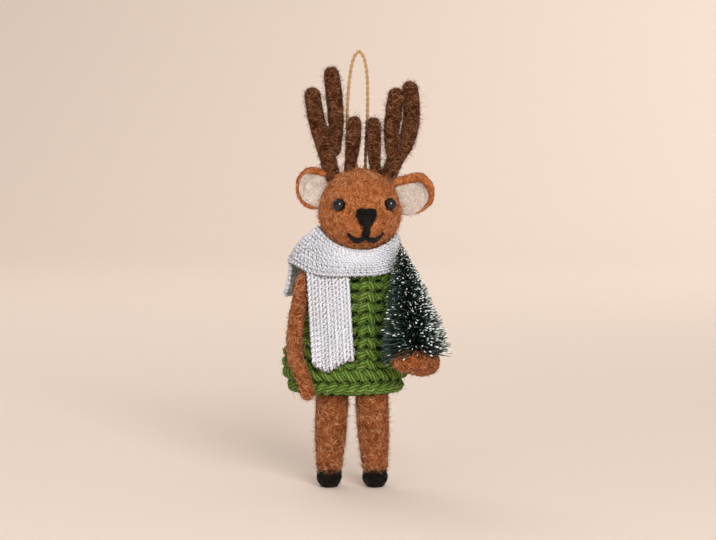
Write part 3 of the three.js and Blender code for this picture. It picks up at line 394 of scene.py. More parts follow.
# %% Lamps and sky
SKY = 0.5
DEER = (0, 0, 0.1)
LAMPS = [
    ("lamp_key", (0.5, -1.6, 0.85), DEER, 0.8, 25),
    ("lamp_fill", (-0.7, -1.4, 0.16), DEER, 0.9, 9),
    ("lamp_back", (-0.5, 1.0, 1.3), DEER, 0.9, 5),
    ("lamp_paper", (1.0, 1.1, 1.1), (0.5, 2.2, 0.4), 1.0, 9),
]
for name, place, target, size, power in LAMPS:
    bpy.ops.object.light_add(type="AREA", location=place)
    lamp = bpy.context.object
    lamp.name = name
    lamp.data.size = size
    lamp.data.energy = power
    lamp.visible_glossy = name != "lamp_fill"
    towards = Vector(target) - Vector(place)
    lamp.rotation_euler = towards.to_track_quat("-Z", "Y").to_euler()
world = bpy.data.worlds.new("pale_sky")
bpy.context.scene.world = world
world.use_nodes = True
sky = world.node_tree.nodes["Background"]
sky.inputs["Color"].default_value = (1, 0.988, 0.972, 1)
sky.inputs["Strength"].default_value = SKY
bpy.context.scene.view_settings.view_transform = "Standard"
print("lamps:", len(LAMPS))

# %% [markdown]
# ## Wool finishes
# Felt is wool carded from fibres of several shades, so its colour is a fine speckle and never
# flat. A ramp over fine noise gives the speckle, and slower noise the clouding from the needle's
# work. The fine noise gives the relief too. A little sheen stands for the down on the surface.
# Loose fibres get one shade each, kept on the fibre as a tone.

# %% Felt finish


def felt_material(name, shades, grain, streak=(1, 1, 1), sheen=0.08):
    """Wool felt from three shades, its grain in millimetres, drawn out by streak."""
    material, graph, shader = start_material(name)
    shader.inputs["Roughness"].default_value = 0.95
    shader.inputs["Specular IOR Level"].default_value = 0.1
    shader.inputs["Sheen Weight"].default_value = sheen
    shader.inputs["Sheen Roughness"].default_value = 0.6
    place = add_node(graph, "ShaderNodeTexCoord")
    draw = add_node(graph, "ShaderNodeMapping", Scale=streak)
    graph.links.new(place.outputs["Object"], draw.inputs["Vector"])
    fine = add_node(graph, "ShaderNodeTexNoise", Scale=1 / (grain * MM), Detail=5, Roughness=0.75)
    graph.links.new(draw.outputs["Vector"], fine.inputs["Vector"])
    slow = add_node(graph, "ShaderNodeTexNoise", Scale=1 / (7 * grain * MM), Detail=2)
    graph.links.new(place.outputs["Object"], slow.inputs["Vector"])
    both = graph.nodes.new("ShaderNodeMix")
    both.inputs["Factor"].default_value = 0.3
    graph.links.new(fine.outputs["Fac"], both.inputs["A"])
    graph.links.new(slow.outputs["Fac"], both.inputs["B"])
    dark, middle, light = shades
    stops = [(0.4, dark), (0.5, middle), (0.6, light)]
    graph.links.new(add_ramp(graph, both.outputs["Result"], stops), shader.inputs["Base Color"])
    add_bump(graph, shader, fine.outputs["Fac"], 0.6, 0.35)
    return material


def fibre_material(name, shades):
    """Loose wool fibres, each with the shade of its own tone."""
    material, graph, shader = start_material(name)
    shader.inputs["Roughness"].default_value = 0.8
    shader.inputs["Specular IOR Level"].default_value = 0.05
    tone = add_node(graph, "ShaderNodeAttribute")
    tone.attribute_name = "tone"
    dark, middle, light = shades
    stops = [(0.05, dark), (0.5, middle), (0.95, light)]
    graph.links.new(add_ramp(graph, tone.outputs["Fac"], stops), shader.inputs["Base Color"])
    return material


print("felt and fibre finishes defined")

# %% Wool colours
BROWN = (screen(116, 54, 17), screen(156, 85, 38), screen(192, 119, 68))
BROWN_LOOSE = (screen(112, 52, 18), screen(184, 106, 54), screen(236, 180, 132))
LIMB = (screen(92, 38, 10), screen(135, 69, 29), screen(174, 105, 62))
LIMB_LOOSE = (screen(86, 37, 10), screen(156, 88, 44), screen(236, 182, 136))
DARK = (screen(36, 14, 3), screen(68, 34, 14), screen(108, 64, 36))
DARK_LOOSE = (screen(28, 10, 1), screen(80, 41, 17), screen(196, 140, 102))
BLACK = (screen(8, 7, 6), screen(16, 13, 11), screen(32, 28, 24))
WHITE = (screen(172, 156, 144), screen(194, 177, 165), screen(214, 201, 190))
CORE = (screen(120, 84, 54), screen(150, 108, 74), screen(176, 134, 98))
brown_felt = felt_material("brown_felt", BROWN, 0.9)
limb_felt = felt_material("brown_felt_wound", LIMB, 0.8, streak=(0.5, 0.5, 1.5))
dark_felt = felt_material("dark_felt", DARK, 0.8, streak=(0.5, 0.5, 1.5), sheen=0.02)
black_felt = felt_material("black_felt", BLACK, 0.6, sheen=0.05)
white_felt = felt_material("white_felt", WHITE, 0.9)
core_felt = felt_material("core_felt", CORE, 0.9)
brown_fibre = fibre_material("brown_fibre", BROWN_LOOSE)
limb_fibre = fibre_material("limb_fibre", LIMB_LOOSE)
dark_fibre = fibre_material("dark_fibre", DARK_LOOSE)
black_fibre = fibre_material("black_fibre", BLACK)
white_fibre = fibre_material("white_fibre", WHITE)
print("wool finishes:", len(bpy.data.materials))

# %% [markdown]
# ## Felting
# A felted piece is a soft lump with no edges. A copy of the measured solid is merged, remeshed
# into small even quads, smoothed, and displaced by a cloud pattern for the hollows that the
# needle leaves. This keeps the measured place and form. Sculpting by hand would lose both.

# %% Felting helper


def felted(name, sources, body, slot, material, **habit):
    """One felted piece in the place of measured solids. Sizes are in millimetres."""
    manner = {"voxel": 0.5, "soften": 6, "lump": 0.4, "lump_size": 2.6, "grow": 0.2, "extra": None}
    manner.update(habit)
    voxel, soften, lump, lump_size, grow, extra = manner.values()
    bpy.ops.object.select_all(action="DESELECT")
    if extra:
        extra.select_set(True)
    for source in sources:
        part = bpy.data.objects.new(name, nodes[source].data.copy())
        bpy.context.collection.objects.link(part)
        part.select_set(True)
        bpy.context.view_layer.objects.active = part
    if len(sources) > 1 or extra:
        bpy.ops.object.join()
    piece = bpy.context.object
    piece.name = name
    piece.data.materials.clear()
    bpy.ops.object.mode_set(mode="EDIT")
    bpy.ops.mesh.select_all(action="SELECT")
    bpy.ops.mesh.remove_doubles(threshold=0.001 * MM)
    bpy.ops.object.mode_set(mode="OBJECT")
    merge = piece.modifiers.new("merge", "REMESH")
    merge.mode = "VOXEL"
    merge.voxel_size = voxel * MM
    bpy.ops.object.modifier_apply(modifier=merge.name)
    smooth = piece.modifiers.new("soften", "SMOOTH")
    smooth.iterations = soften
    bpy.ops.object.modifier_apply(modifier=smooth.name)
    hollows = bpy.data.textures.new(f"{name}_hollows", "CLOUDS")
    hollows.noise_scale = lump_size * MM
    needle = piece.modifiers.new("needle", "DISPLACE")
    needle.texture = hollows
    needle.strength = lump * MM
    needle.mid_level = 0.5 - grow / lump
    bpy.ops.object.modifier_apply(modifier=needle.name)
    bpy.ops.object.shade_smooth()
    piece.data.materials.append(material)
    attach(piece, body)
    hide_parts(*sources)
    print(name, "faces:", len(piece.data.polygons))
    return piece


# %% [markdown]
# ## Loose fibres
# Short wool fibres lie on the felt and stand off it as a soft halo. Each one starts in the
# surface, follows it for a few millimetres, curls, and rises by its own amount. Particle hair
# would be quicker to set up, but real tubes stay in the finished model.

# %% Fibre helper


FIBRE_STEPS = 5
FIBRE_TAPER = np.array([0.7, 1, 1, 0.9, 0.4])
STANDING_LONG, STANDING_THICK = 0.7, 0.65
FLOOR_CLEAR = 0.15


def fleece(name, piece, body, slot, material, count, seed, **habit):
    """Loose fibres on a piece, sizes in millimetres.

    halo is the share of fibres that stand off the surface, wound lays them round the upright
    axis, 0 to 1, and no fibre starts below the height above.
    """
    manner = {
        "length": 3.2, "lift": 0.14, "halo": 0.45, "wound": 0.0,
        "thick": 0.09, "tall": 1.05, "above": -1.0,
    }
    manner.update(habit)
    length, lift, halo, wound, thick, tallest, above = manner.values()
    random = np.random.default_rng(seed)
    mesh = piece.data
    mesh.calc_loop_triangles()
    spots = np.empty(len(mesh.vertices) * 3)
    mesh.vertices.foreach_get("co", spots)
    spots = spots.reshape(-1, 3)
    corners = np.empty(len(mesh.loop_triangles) * 3, np.int32)
    mesh.loop_triangles.foreach_get("vertices", corners)
    triangles = spots[corners.reshape(-1, 3)]
    across = np.cross(triangles[:, 1] - triangles[:, 0], triangles[:, 2] - triangles[:, 0])
    area = np.linalg.norm(across, axis=1) * (triangles[..., 2].mean(axis=1) > above * MM)
    chosen = random.choice(len(area), count, p=area / area.sum())
    weights = random.dirichlet((1, 1, 1), count)
    root = np.einsum("ij,ijk->ik", weights, triangles[chosen])
    normal = unit(across[chosen])
    any_way = unit(np.cross(normal, random.standard_normal((count, 3))))
    round_way = np.cross(np.array([0.0, 0, 1]), normal)
    round_way = unit(round_way * random.choice([-1, 1], (count, 1)) + 1e-6)
    way = unit(any_way * (1 - wound) + round_way * wound)
    aside = np.cross(normal, way)
    share = np.linspace(0, 1, FIBRE_STEPS)
    long = length * MM * random.uniform(0.5, 1.25, (count, 1, 1))
    curl = random.normal(0, 0.55, (count, 1, 1))
    wave = random.normal(0, 0.14, (count, 1, 1))
    bow = share[None, :, None]
    rise = 0.02 + lift * random.gamma(2.0, 0.5, (count, 1)) * np.sin(np.pi * share) ** 0.7
    standing = random.random(count) < halo
    long[standing] *= STANDING_LONG
    tall = tallest * random.gamma(2.2, 0.42, count)
    rise[standing] = (tall[:, None] * share**1.3)[standing]
    line = root[:, None] + long * (
        way[:, None] * bow * (1 - 0.3 * np.abs(curl) * bow)
        + aside[:, None] * (curl * bow**2 + wave * np.sin(2 * np.pi * bow))
    )
    surface = BVHTree.FromObject(piece, bpy.context.evaluated_depsgraph_get())
    for fibre in range(count):
        for step in range(FIBRE_STEPS):
            near, out, _, _ = surface.find_nearest(Vector(line[fibre, step]))
            line[fibre, step] = near + out * (rise[fibre, step] * MM)
    line[..., 2] = np.maximum(line[..., 2], FLOOR_CLEAR * MM)
    radius = thick * MM * random.uniform(0.7, 1.25, (count, 1)) * FIBRE_TAPER
    radius[standing] *= STANDING_THICK
    tone = np.clip(random.normal(0.5, 0.3, (count, 1)), 0, 1)
    wisps = tube_mesh(name, line, radius, 3, tone=tone)
    wisps.data.materials.append(material)
    if body:
        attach(wisps, body)
    print(name, "fibres:", count)
    return wisps


print("fibre helper ready")

# %% [markdown]
# ## Felted parts of the deer
# Head, ears, arms and legs are brown wool, the antlers a darker one. Nose, mouth and hooves are
# black wool, and the ears are lined with white. The head is the plainest of them: one solid,
# felted, with a soft halo of fibres.

# %% Head
head = felted("head_felt", ["head"], "head", "brown_felt", brown_felt, voxel=0.6, soften=10)
fleece("head_fibres", head, "head", "brown_felt", brown_fibre, 7500, 21, length=3.6, halo=0.6)

# %% [markdown]
# Each ear is a cup of brown felt. A thick roll runs along its top from the head to the outer
# side, and the white lining runs down to the head, so it shows no rim there. The roll is a tube
# that thins out on its way. One flattened ball fills the lining's lower part, and one of brown
# felt closes the cup behind it. All are placed on the ear's own axes: outwards from the head, up
# the ear, and out of the cup.

# %% Ear shapes
EARS = {
    "right": {
        "middle": (-21.7, 10.6, 135.2), "outer": (-0.984, 0.18, 0), "facing": (-0.18, -0.984, 0),
        "thick": 1.5, "thin": 0.2, "end": 40, "low": (-3, -1.6), "wide": (8.2, 7.5),
    },
    "left": {
        "middle": (23.4, 11.8, 132.8), "outer": (0.977, 0.213, 0), "facing": (0.21, -0.977, 0),
        "thick": 1.9, "thin": 0.5, "end": -40, "low": (-4, -2.3), "wide": (8.2, 7.4),
    },
}
EAR_HALF_WIDE, EAR_HALF_TALL = 8, 9.3
ROLL_BEGIN, ROLL_STEPS, ROLL_DEPTH = 112, 26, 1.7
ROLL_ROOT = (-12, 4.6, 0.8)
CUP_DEPTH, FILL_DEPTH, BALL_FLAT = 0.3, 1.6, 1.2


def ear_place(middle, outer, facing):
    """A matrix from an ear's own axes, in millimetres, to the deer."""
    axes = np.eye(4)
    axes[:3, 0], axes[:3, 1], axes[:3, 2] = outer, (0, 0, 1), facing
    axes[:3, 3] = middle
    return Matrix.Scale(MM, 4) @ Matrix(axes.tolist())


def flat_ball(shape, place, depth):
    """A flattened ball in an ear, at a depth out of its cup."""
    bpy.ops.object.select_all(action="DESELECT")
    bpy.ops.mesh.primitive_uv_sphere_add(segments=24, ring_count=16, radius=1)
    ball = bpy.context.object
    spread = Matrix.Diagonal((*shape["wide"], BALL_FLAT, 1))
    ball.data.transform(place @ (Matrix.Translation((*shape["low"], depth)) @ spread))
    return ball


print("ear helpers ready")

# %% Ears
for side, shape in EARS.items():
    name = f"ear_{side}"
    place = ear_place(shape["middle"], shape["outer"], shape["facing"])
    turn = np.radians(np.linspace(ROLL_BEGIN, shape["end"], ROLL_STEPS))
    thinning = ease(np.linspace(0, 1, ROLL_STEPS), 0.3, 1)
    fat = shape["thick"] * (1 - (1 - shape["thin"]) * thinning)
    wide, tall = (EAR_HALF_WIDE - fat) * np.cos(turn), (EAR_HALF_TALL - fat) * np.sin(turn)
    route = np.concatenate([[ROLL_ROOT], np.stack([wide, tall, ROLL_DEPTH + 0 * turn], -1)])
    fat = np.concatenate([fat[:1], fat])
    roll = tube_mesh(f"{name}_roll", route[None], fat[None], 12)
    roll.data.transform(place)
    cup, fill = (flat_ball(shape, place, depth) for depth in (CUP_DEPTH, FILL_DEPTH))
    roll.select_set(True)
    cup.select_set(True)
    fill.select_set(False)
    bpy.context.view_layer.objects.active = roll
    bpy.ops.object.join()
    ear = felted(
        f"{name}_felt", [name], "head", "brown_felt", brown_felt,
        voxel=0.4, soften=12, lump=0.25, extra=roll,
    )
    fleece(f"{name}_fibres", ear, "head", "brown_felt", brown_fibre, 1500, 22, length=2.6, tall=0.7)
    lining = felted(
        f"{name}_lining_felt", [f"{name}_lining"], "head", "white_felt", white_felt,
        voxel=0.35, soften=8, lump=0.15, extra=fill,
    )
    fleece(
        f"{name}_lining_fibres", lining, "head", "white_felt", white_fibre, 700, 23,
        length=2.4, thick=0.045, lift=0.06,
    )

# %% [markdown]
# An antler is dark wool wound round wire, so its fibres lie round it. Beam and tines are felted
# into one another. Remeshing the three solids together gives the same soft forks.

# %% Antlers
for side in ("right", "left"):
    parts = [f"antler_{side}_{part}" for part in ("beam", "upper_tine", "inner_tine")]
    name = f"antler_{side}"
    antler = felted(f"{name}_felt", parts, "head", "dark_felt", dark_felt, soften=8, lump=0.6, grow=0.05)
    fleece(
        f"{name}_fibres", antler, "head", "dark_felt", dark_fibre, 6200, 24,
        wound=0.7, halo=0.55, thick=0.075, tall=1.2,
    )

# %% [markdown]
# The arms are wool wound on wire. The left hand is a broad mitten under the tree. A ball,
# flattened and moved to the hand, is joined to that arm before both are felted into one.

# %% Arms
PALM = Vector((20.8, -17.9, 60.2))
PALM_HALF = (8.6, 4.2, 5.2)
bpy.ops.object.select_all(action="DESELECT")
bpy.ops.mesh.primitive_uv_sphere_add(segments=24, ring_count=16, radius=1, location=PALM * MM)
palm = bpy.context.object
palm.scale = [half * MM for half in PALM_HALF]
bpy.ops.object.transform_apply(location=True, rotation=True, scale=True)
for side, hand in (("right", None), ("left", palm)):
    arm = felted(
        f"arm_{side}_felt", [f"arm_{side}"], f"{side}_arm", "brown_felt", limb_felt,
        lump=0.35, grow=0.05, extra=hand,
    )
    fleece(f"arm_{side}_fibres", arm, f"{side}_arm", "brown_felt", limb_fibre, 3200, 25, wound=0.6)

# %% [markdown]
# The legs are wound in the same way. Each hoof is a cap of black felt, rounded towards its sole:
# its points are drawn in the more, the lower they lie. Some brown fibres of the leg hang over its
# top, so that the two wools run into one another.

# %% Legs and hooves
SOLE_ROUND, SOLE_TUCK, SOLE_CLEAR = 5 * MM, 0.28, 0.05 * MM
CUFF_DROP = 1.2
for side in ("right", "left"):
    leg = felted(
        f"leg_{side}_felt", [f"leg_{side}"], "body", "brown_felt", limb_felt, lump=0.5, grow=0.45
    )
    fleece(f"leg_{side}_fibres", leg, "body", "brown_felt", limb_fibre, 4300, 26, wound=0.4, halo=0.55)
    hoof = felted(
        f"hoof_{side}_felt", [f"hoof_{side}"], "body", "black_felt", black_felt, soften=40, grow=0.45
    )
    low, high = (Vector(corner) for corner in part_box(f"hoof_{side}"))
    middle = (low + high) / 2
    for point in hoof.data.vertices:
        flat = max(0, 1 - point.co.z / SOLE_ROUND)
        point.co.xy = middle.xy + (point.co.xy - middle.xy) * (1 - SOLE_TUCK * flat**2)
        point.co.z = max(point.co.z, SOLE_CLEAR)
    fleece(
        f"hoof_{side}_fibres", hoof, "body", "black_felt", black_fibre, 600, 27, length=2.4, tall=0.5
    )
    fleece(
        f"hoof_{side}_cuff", hoof, "body", "brown_felt", limb_fibre, 420, 29,
        length=1.7, tall=0.8, thick=0.07, above=high.z / MM - CUFF_DROP,
    )

# %% [markdown]
# The nose is a pad of black felt with a narrow philtrum below it, and the mouth two thin strokes.
# The nose is felted from its solid and drawn in at a waist between pad and philtrum. The torso
# under the sweater and the knot of the loop are felted too, though little of them is seen.

# %% Nose, mouth and core
NOSE_X = 0.95 * MM
WAIST_HEIGHT, WAIST_SPREAD, WAIST_TUCK = 118.6, 1.8, 0.3
nose = felted(
    "nose_felt", ["nose"], "head", "black_felt", black_felt,
    voxel=0.3, soften=14, lump=0.1, lump_size=1.2, grow=0.25,
)
for point in nose.data.vertices:
    waist = math.exp(-(((point.co.z / MM - WAIST_HEIGHT) / WAIST_SPREAD) ** 2))
    point.co.x = NOSE_X + (point.co.x - NOSE_X) * (1 - WAIST_TUCK * waist)
fleece("nose_fibres", nose, "head", "black_felt", black_fibre, 260, 28, length=2, tall=0.5)
for side in ("right", "left"):
    felted(
        f"mouth_{side}_felt", [f"mouth_{side}"], "head", "black_felt", black_felt,
        voxel=0.25, soften=4, lump=0.15, lump_size=1, grow=0.4,
    )
felted("torso_felt", ["torso"], "body", "core_felt", core_felt, voxel=1.0, grow=0)
felted(
    "twine_knot", ["hanger_knot"], "head", "jute", core_felt,
    voxel=0.35, soften=4, lump=0.3, lump_size=1.2, grow=0,
)

# %% [markdown]
# ## Eyes
# Each eye is a black glass bead on a shank that is pressed into the felt. A helper finds the
# head's surface in any direction, so the beads sit on it. A sphere is the start: the faces round
# its back pole are extruded into the shank. A hard clear gloss gives the small white glint.

# %% Head surface
HEAD_MIDDLE = np.array([-1.9, 8.215, 124.4])
HEAD_WIDE, HEAD_DEEP, CROWN_HIGH, JAW_LOW = 18.4, 17, 19.6, 17.4
FACE_BEARING = 278.5
MUZZLE_SPREAD, MUZZLE_OUT = math.radians(30), 3


def way_from_head(bearing, rise):
    """A direction from the head's middle: bearing 0 is the deer's left, 270 its front."""
    turn, lift = math.radians(bearing), math.radians(rise)
    return np.array(
        [math.cos(lift) * math.cos(turn), math.cos(lift) * math.sin(turn), math.sin(lift)]
    )


MUZZLE = way_from_head(FACE_BEARING, -16)


def head_reach(way):
    """How far the head's felt reaches in a direction, in millimetres."""
    half = CROWN_HIGH if way[2] > 0 else JAW_LOW
    egg = 1 / math.hypot(way[0] / HEAD_WIDE, way[1] / HEAD_DEEP, way[2] / half)
    apart = math.acos(min(1, float(way @ MUZZLE))) / MUZZLE_SPREAD
    return egg + MUZZLE_OUT * math.exp(-apart * apart)


print("muzzle reaches", round(head_reach(MUZZLE), 1), "mm from the head's middle")

# %% Bead eyes
BEAD_RADIUS, SHANK_LONG, BEAD_STANDOFF = 2.9, 3.4, 0.35
EYE_TURN, EYE_RISE = 40.5, 13
black_glass, graph, shader = start_material("black_glass")
shader.inputs["Base Color"].default_value = (0.003, 0.003, 0.003, 1)
shader.inputs["Specular IOR Level"].default_value = 0.5
place = add_node(graph, "ShaderNodeTexCoord")
smear = add_node(graph, "ShaderNodeTexNoise", Scale=700, Detail=2)
graph.links.new(place.outputs["Object"], smear.inputs["Vector"])
dull = add_node(graph, "ShaderNodeMapRange")
dull.inputs["To Min"].default_value = 0.02
dull.inputs["To Max"].default_value = 0.06
graph.links.new(smear.outputs["Fac"], dull.inputs["Value"])
graph.links.new(dull.outputs["Result"], shader.inputs["Roughness"])
for side, turn in (("right", -EYE_TURN), ("left", EYE_TURN)):
    bpy.ops.object.select_all(action="DESELECT")
    bpy.ops.mesh.primitive_uv_sphere_add(segments=32, ring_count=20, radius=BEAD_RADIUS * MM)
    bead = bpy.context.object
    bead.name = f"eye_{side}_bead"
    bpy.ops.object.mode_set(mode="EDIT")
    bpy.ops.mesh.select_all(action="DESELECT")
    bpy.ops.object.mode_set(mode="OBJECT")
    for face in bead.data.polygons:
        face.select = face.center.z < -0.96 * BEAD_RADIUS * MM
    bpy.ops.object.mode_set(mode="EDIT")
    bpy.ops.mesh.select_mode(type="FACE")
    bpy.ops.mesh.extrude_region_move(TRANSFORM_OT_translate={"value": (0, 0, -SHANK_LONG * MM)})
    bpy.ops.object.mode_set(mode="OBJECT")
    bpy.ops.object.shade_smooth()
    way = way_from_head(FACE_BEARING + turn, EYE_RISE)
    spot = (HEAD_MIDDLE + way * (head_reach(way) + BEAD_STANDOFF)) * MM
    aim = Vector((0, 0, 1)).rotation_difference(Vector(way)).to_matrix().to_4x4()
    bead.data.transform(Matrix.Translation(Vector(spot)) @ aim)
    bead.data.materials.append(black_glass)
    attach(bead, "head")
    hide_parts(f"eye_{side}")
    print(bead.name, "at", [round(float(v) / MM, 1) for v in spot])

# %% [markdown]
# ## Sweater outline
# The sweater follows the measured outline: half-widths at six heights, smoothed between them,
# oval in plan and leaning a little. The helper gives the point at a climb up the cloth from the
# hem, a share of the way round from the front, and a distance outside the outline.

# %% Sweater outline
BODY_X, BODY_Y = -5.4, 10.215
DEPTH_SHARE = 0.7
STATION_HEIGHT = np.array([41.6, 55.6, 71.6, 86.6, 97.6, 104.0])
STATION_HALF = np.array([24.5, 28.8, 26.0, 24.5, 20.0, 12.0])
LAST_STATION = len(STATION_HALF) - 1
stations = np.arange(LAST_STATION + 1)
before, after = np.maximum(stations - 1, 0), np.minimum(stations + 1, LAST_STATION)
STATION_SLOPE = (STATION_HALF[after] - STATION_HALF[before]) / (
    STATION_HEIGHT[after] - STATION_HEIGHT[before]
)


def half_width(height):
    """The sweater's half-width at a height."""
    height = np.asarray(height, float)
    at = np.clip(np.searchsorted(STATION_HEIGHT, height) - 1, 0, LAST_STATION - 1)
    span = STATION_HEIGHT[at + 1] - STATION_HEIGHT[at]
    t = np.clip((height - STATION_HEIGHT[at]) / span, 0, 1)
    rise = 3 * t**2 - 2 * t**3
    lead, trail = t - 2 * t**2 + t**3, t**3 - t**2
    level = STATION_HALF[at] * (1 - rise) + STATION_HALF[at + 1] * rise
    return level + span * (lead * STATION_SLOPE[at] + trail * STATION_SLOPE[at + 1])


def body_middle(height):
    """How far the body leans to the deer's left at a height."""
    return -3 + 4.5 * ease(height, 71.6, 104)


heights = np.linspace(STATION_HEIGHT[0], STATION_HEIGHT[-1], 400)
halves = half_width(heights)
climbs = np.concatenate([[0], np.cumsum(np.hypot(np.diff(heights), np.diff(halves)))])
CLIMB = np.concatenate([[-9], climbs, [climbs[-1] + 6]])
HEIGHT = np.concatenate([[heights[0] - 7.6], heights, [heights[-1] + 3.4]])
HALF = np.concatenate([[halves[0] - 4.8], halves, [halves[-1] - 5]])
OUT_LEAN, UP_LEAN = np.gradient(HEIGHT, CLIMB), -np.gradient(HALF, CLIMB)
turns = np.linspace(0, 2 * np.pi, 721)
pace = np.hypot(np.cos(turns), DEPTH_SHARE * np.sin(turns))
paced = np.concatenate([[0], np.cumsum((pace[1:] + pace[:-1]) / 2 * np.diff(turns))])
OVAL_SHARE = paced / paced[-1]
OVAL_ROUND = paced[-1]


def on_sweater(climb, share, out):
    """A point on the sweater, in millimetres."""
    half, height = np.interp(climb, CLIMB, HALF), np.interp(climb, CLIMB, HEIGHT)
    turn = np.interp(np.mod(share, 1), OVAL_SHARE, turns) - np.pi / 2
    across = unit(np.stack([np.cos(turn), np.sin(turn) / DEPTH_SHARE], -1))
    level = out * np.interp(climb, CLIMB, OUT_LEAN)
    return np.stack(
        [
            BODY_X + body_middle(height) + half * np.cos(turn) + level * across[..., 0],
            BODY_Y + half * DEPTH_SHARE * np.sin(turn) + level * across[..., 1],
            height + out * np.interp(climb, CLIMB, UP_LEAN),
        ],
        -1,
    )


print("sweater climbs", round(climbs[-1], 1), "mm, round", round(OVAL_ROUND * STATION_HALF[2], 1), "mm")

# %% [markdown]
# ## Yarn finish
# Sweater and scarf are spun yarn. The map along the tube paints each ply's groove darker, as
# painted shade, and noise drawn out along the ply gives its fibres and their relief. Where the yarn
# sinks behind its neighbours, its tone paints shade on it.

# %% Yarn finish


def yarn_material(name, shades, plies, fibre, deep, ply_share):
    """Spun yarn of three shades. fibre is its fibres' width over its own, deep the painted shade where it
    sinks, ply_share the share of painted shade in the ply grooves.
    """
    material, graph, shader = start_material(name)
    shader.inputs["Roughness"].default_value = 0.9
    shader.inputs["Specular IOR Level"].default_value = 0.1
    shader.inputs["Sheen Weight"].default_value = 0.02
    shader.inputs["Sheen Roughness"].default_value = 0.6
    along = add_node(graph, "ShaderNodeUVMap")
    along.uv_map = "along"
    draw = add_node(graph, "ShaderNodeMapping", Scale=(1 / fibre, 0.35 / fibre, 1))
    graph.links.new(along.outputs["UV"], draw.inputs["Vector"])
    fine = add_node(graph, "ShaderNodeTexNoise", Scale=1.0, Detail=4, Roughness=0.7)
    graph.links.new(draw.outputs["Vector"], fine.inputs["Vector"])
    split = add_node(graph, "ShaderNodeSeparateXYZ")
    graph.links.new(along.outputs["UV"], split.inputs["Vector"])
    # Painted shade: the cosine round the tube lightens each ply's crest and darkens its groove.
    ply = graph.nodes.new("ShaderNodeMath")
    ply.operation = "MULTIPLY"
    ply.inputs[1].default_value = 2 * math.pi * plies
    graph.links.new(split.outputs["X"], ply.inputs[0])
    crest = graph.nodes.new("ShaderNodeMath")
    crest.operation = "COSINE"
    graph.links.new(ply.outputs[0], crest.inputs[0])
    level = add_node(graph, "ShaderNodeMapRange")
    level.inputs["From Min"].default_value = -1
    graph.links.new(crest.outputs[0], level.inputs["Value"])
    both = graph.nodes.new("ShaderNodeMix")
    both.inputs["Factor"].default_value = ply_share
    graph.links.new(fine.outputs["Fac"], both.inputs["A"])
    graph.links.new(level.outputs["Result"], both.inputs["B"])
    dark, middle, light = shades
    stops = [(0.34, dark), (0.5, middle), (0.66, light)]
    # Painted shade: the tone darkens the yarn down to deep where it sinks behind its neighbours.
    tone = add_node(graph, "ShaderNodeAttribute")
    tone.attribute_name = "tone"
    depth = add_ramp(graph, tone.outputs["Fac"], [(0.0, (deep, deep, deep, 1)), (0.8, (1, 1, 1, 1))])
    shade = graph.nodes.new("ShaderNodeMixRGB")
    shade.blend_type = "MULTIPLY"
    shade.inputs["Fac"].default_value = 1
    graph.links.new(add_ramp(graph, both.outputs["Result"], stops), shade.inputs["Color1"])
    graph.links.new(depth, shade.inputs["Color2"])
    graph.links.new(shade.outputs["Color"], shader.inputs["Base Color"])
    add_bump(graph, shader, fine.outputs["Fac"], 0.8, 0.4)
    return material


print("yarn finish defined")

# %% Yarn colours
GREEN = (screen(25, 45, 3), screen(79, 106, 31), screen(156, 184, 96))
CLEAN = (screen(204, 203, 209), screen(228, 227, 232), screen(243, 242, 246))
# The fourth number is the painted shade on sunk yarn, the last the share of painted shade in the ply
# grooves.
green_yarn = yarn_material("green_yarn", GREEN, 6, 0.045, 0.2, 0.15)
white_yarn = yarn_material("white_yarn", CLEAN, 2, 0.2, 0.7, 0.3)
GREEN_LOOSE = (screen(48, 76, 14), screen(110, 141, 56), screen(176, 200, 120))
# The backing cloths are painted far darker than their yarn: painted shade in the gaps between the
# stitches.
SWEATER_BACK_SHADE = (screen(12, 22, 2), screen(20, 34, 5), screen(30, 46, 10))
SCARF_BACK_SHADE = (screen(146, 144, 152), screen(164, 162, 170), screen(180, 178, 186))
green_fibre = fibre_material("green_fibre", GREEN_LOOSE)
clean_fibre = fibre_material("clean_fibre", CLEAN)
sweater_painted_shade_back = felt_material("sweater_painted_shade_back", SWEATER_BACK_SHADE, 0.8, sheen=0.02)
scarf_painted_shade_back = felt_material("scarf_painted_shade_back", SCARF_BACK_SHADE, 0.8)
white_face = felt_material("white_face", CLEAN, 0.8)
print("yarn finishes ready")

# %% [markdown]
# ## Sweater
# The sweater is chunky rib knitting: columns of plain stitches that stand out, with gutters
# between them where the yarn lies as short bars. Every course is one yarn. On a plain stitch its
# two legs lean together at the top and lie in front, while the loop's head and feet sink
# in and thin out, so that the rows are parted by deep shadows, and painted shade darkens the
# sunk yarn further. The hem is two courses of twisted rope, twisted opposite ways, with painted
# shade where each strand twists in.

# %% Sweater measures
COURSES = 10
COURSE_RISE = 5.2
FIRST_COURSE = 16.2
RIBS = 10
PLAIN_WIDE, GUTTER_WIDE = 7.9, 6.2
YARN_RADIUS = 1.8
LOOP_RISE = 2.2
FRONT_RIB = 1.8
PLAIN_STEPS, GUTTER_STEPS = 28, 12
YARN_BACK, PLAIN_OUT, GUTTER_OUT = -3.7, 2.1, 1.5
SUNK_THIN = 0.66
JOG_UP, JOG_ALONG, JOG_OUT = 0.2, 0.15, 0.15
HEM_COURSES = ((10.8, 1), (4.2, -1))
HEM_TURNS, HEM_TWIST, HEM_OUT, HEM_RADIUS = 14, 1.5, -2.8, 1.65
CLOTH_OUT, CLOTH_THICK = -3.2, 0.7
CLOTH_ROWS, CLOTH_COLUMNS = 34, 80


def round_share(climb, along):
    """Millimetres along a course from the front column, as a share of the way round."""
    level = float(np.mean(climb))
    round_about = OVAL_ROUND * float(np.interp(level, CLIMB, HALF))
    middle = BODY_X + float(body_middle(np.interp(level, CLIMB, HEIGHT)))
    return along / (RIBS * (PLAIN_WIDE + GUTTER_WIDE)) + (FRONT_RIB - middle) / round_about


print("sweater has", COURSES, "courses of", RIBS, "ribs")

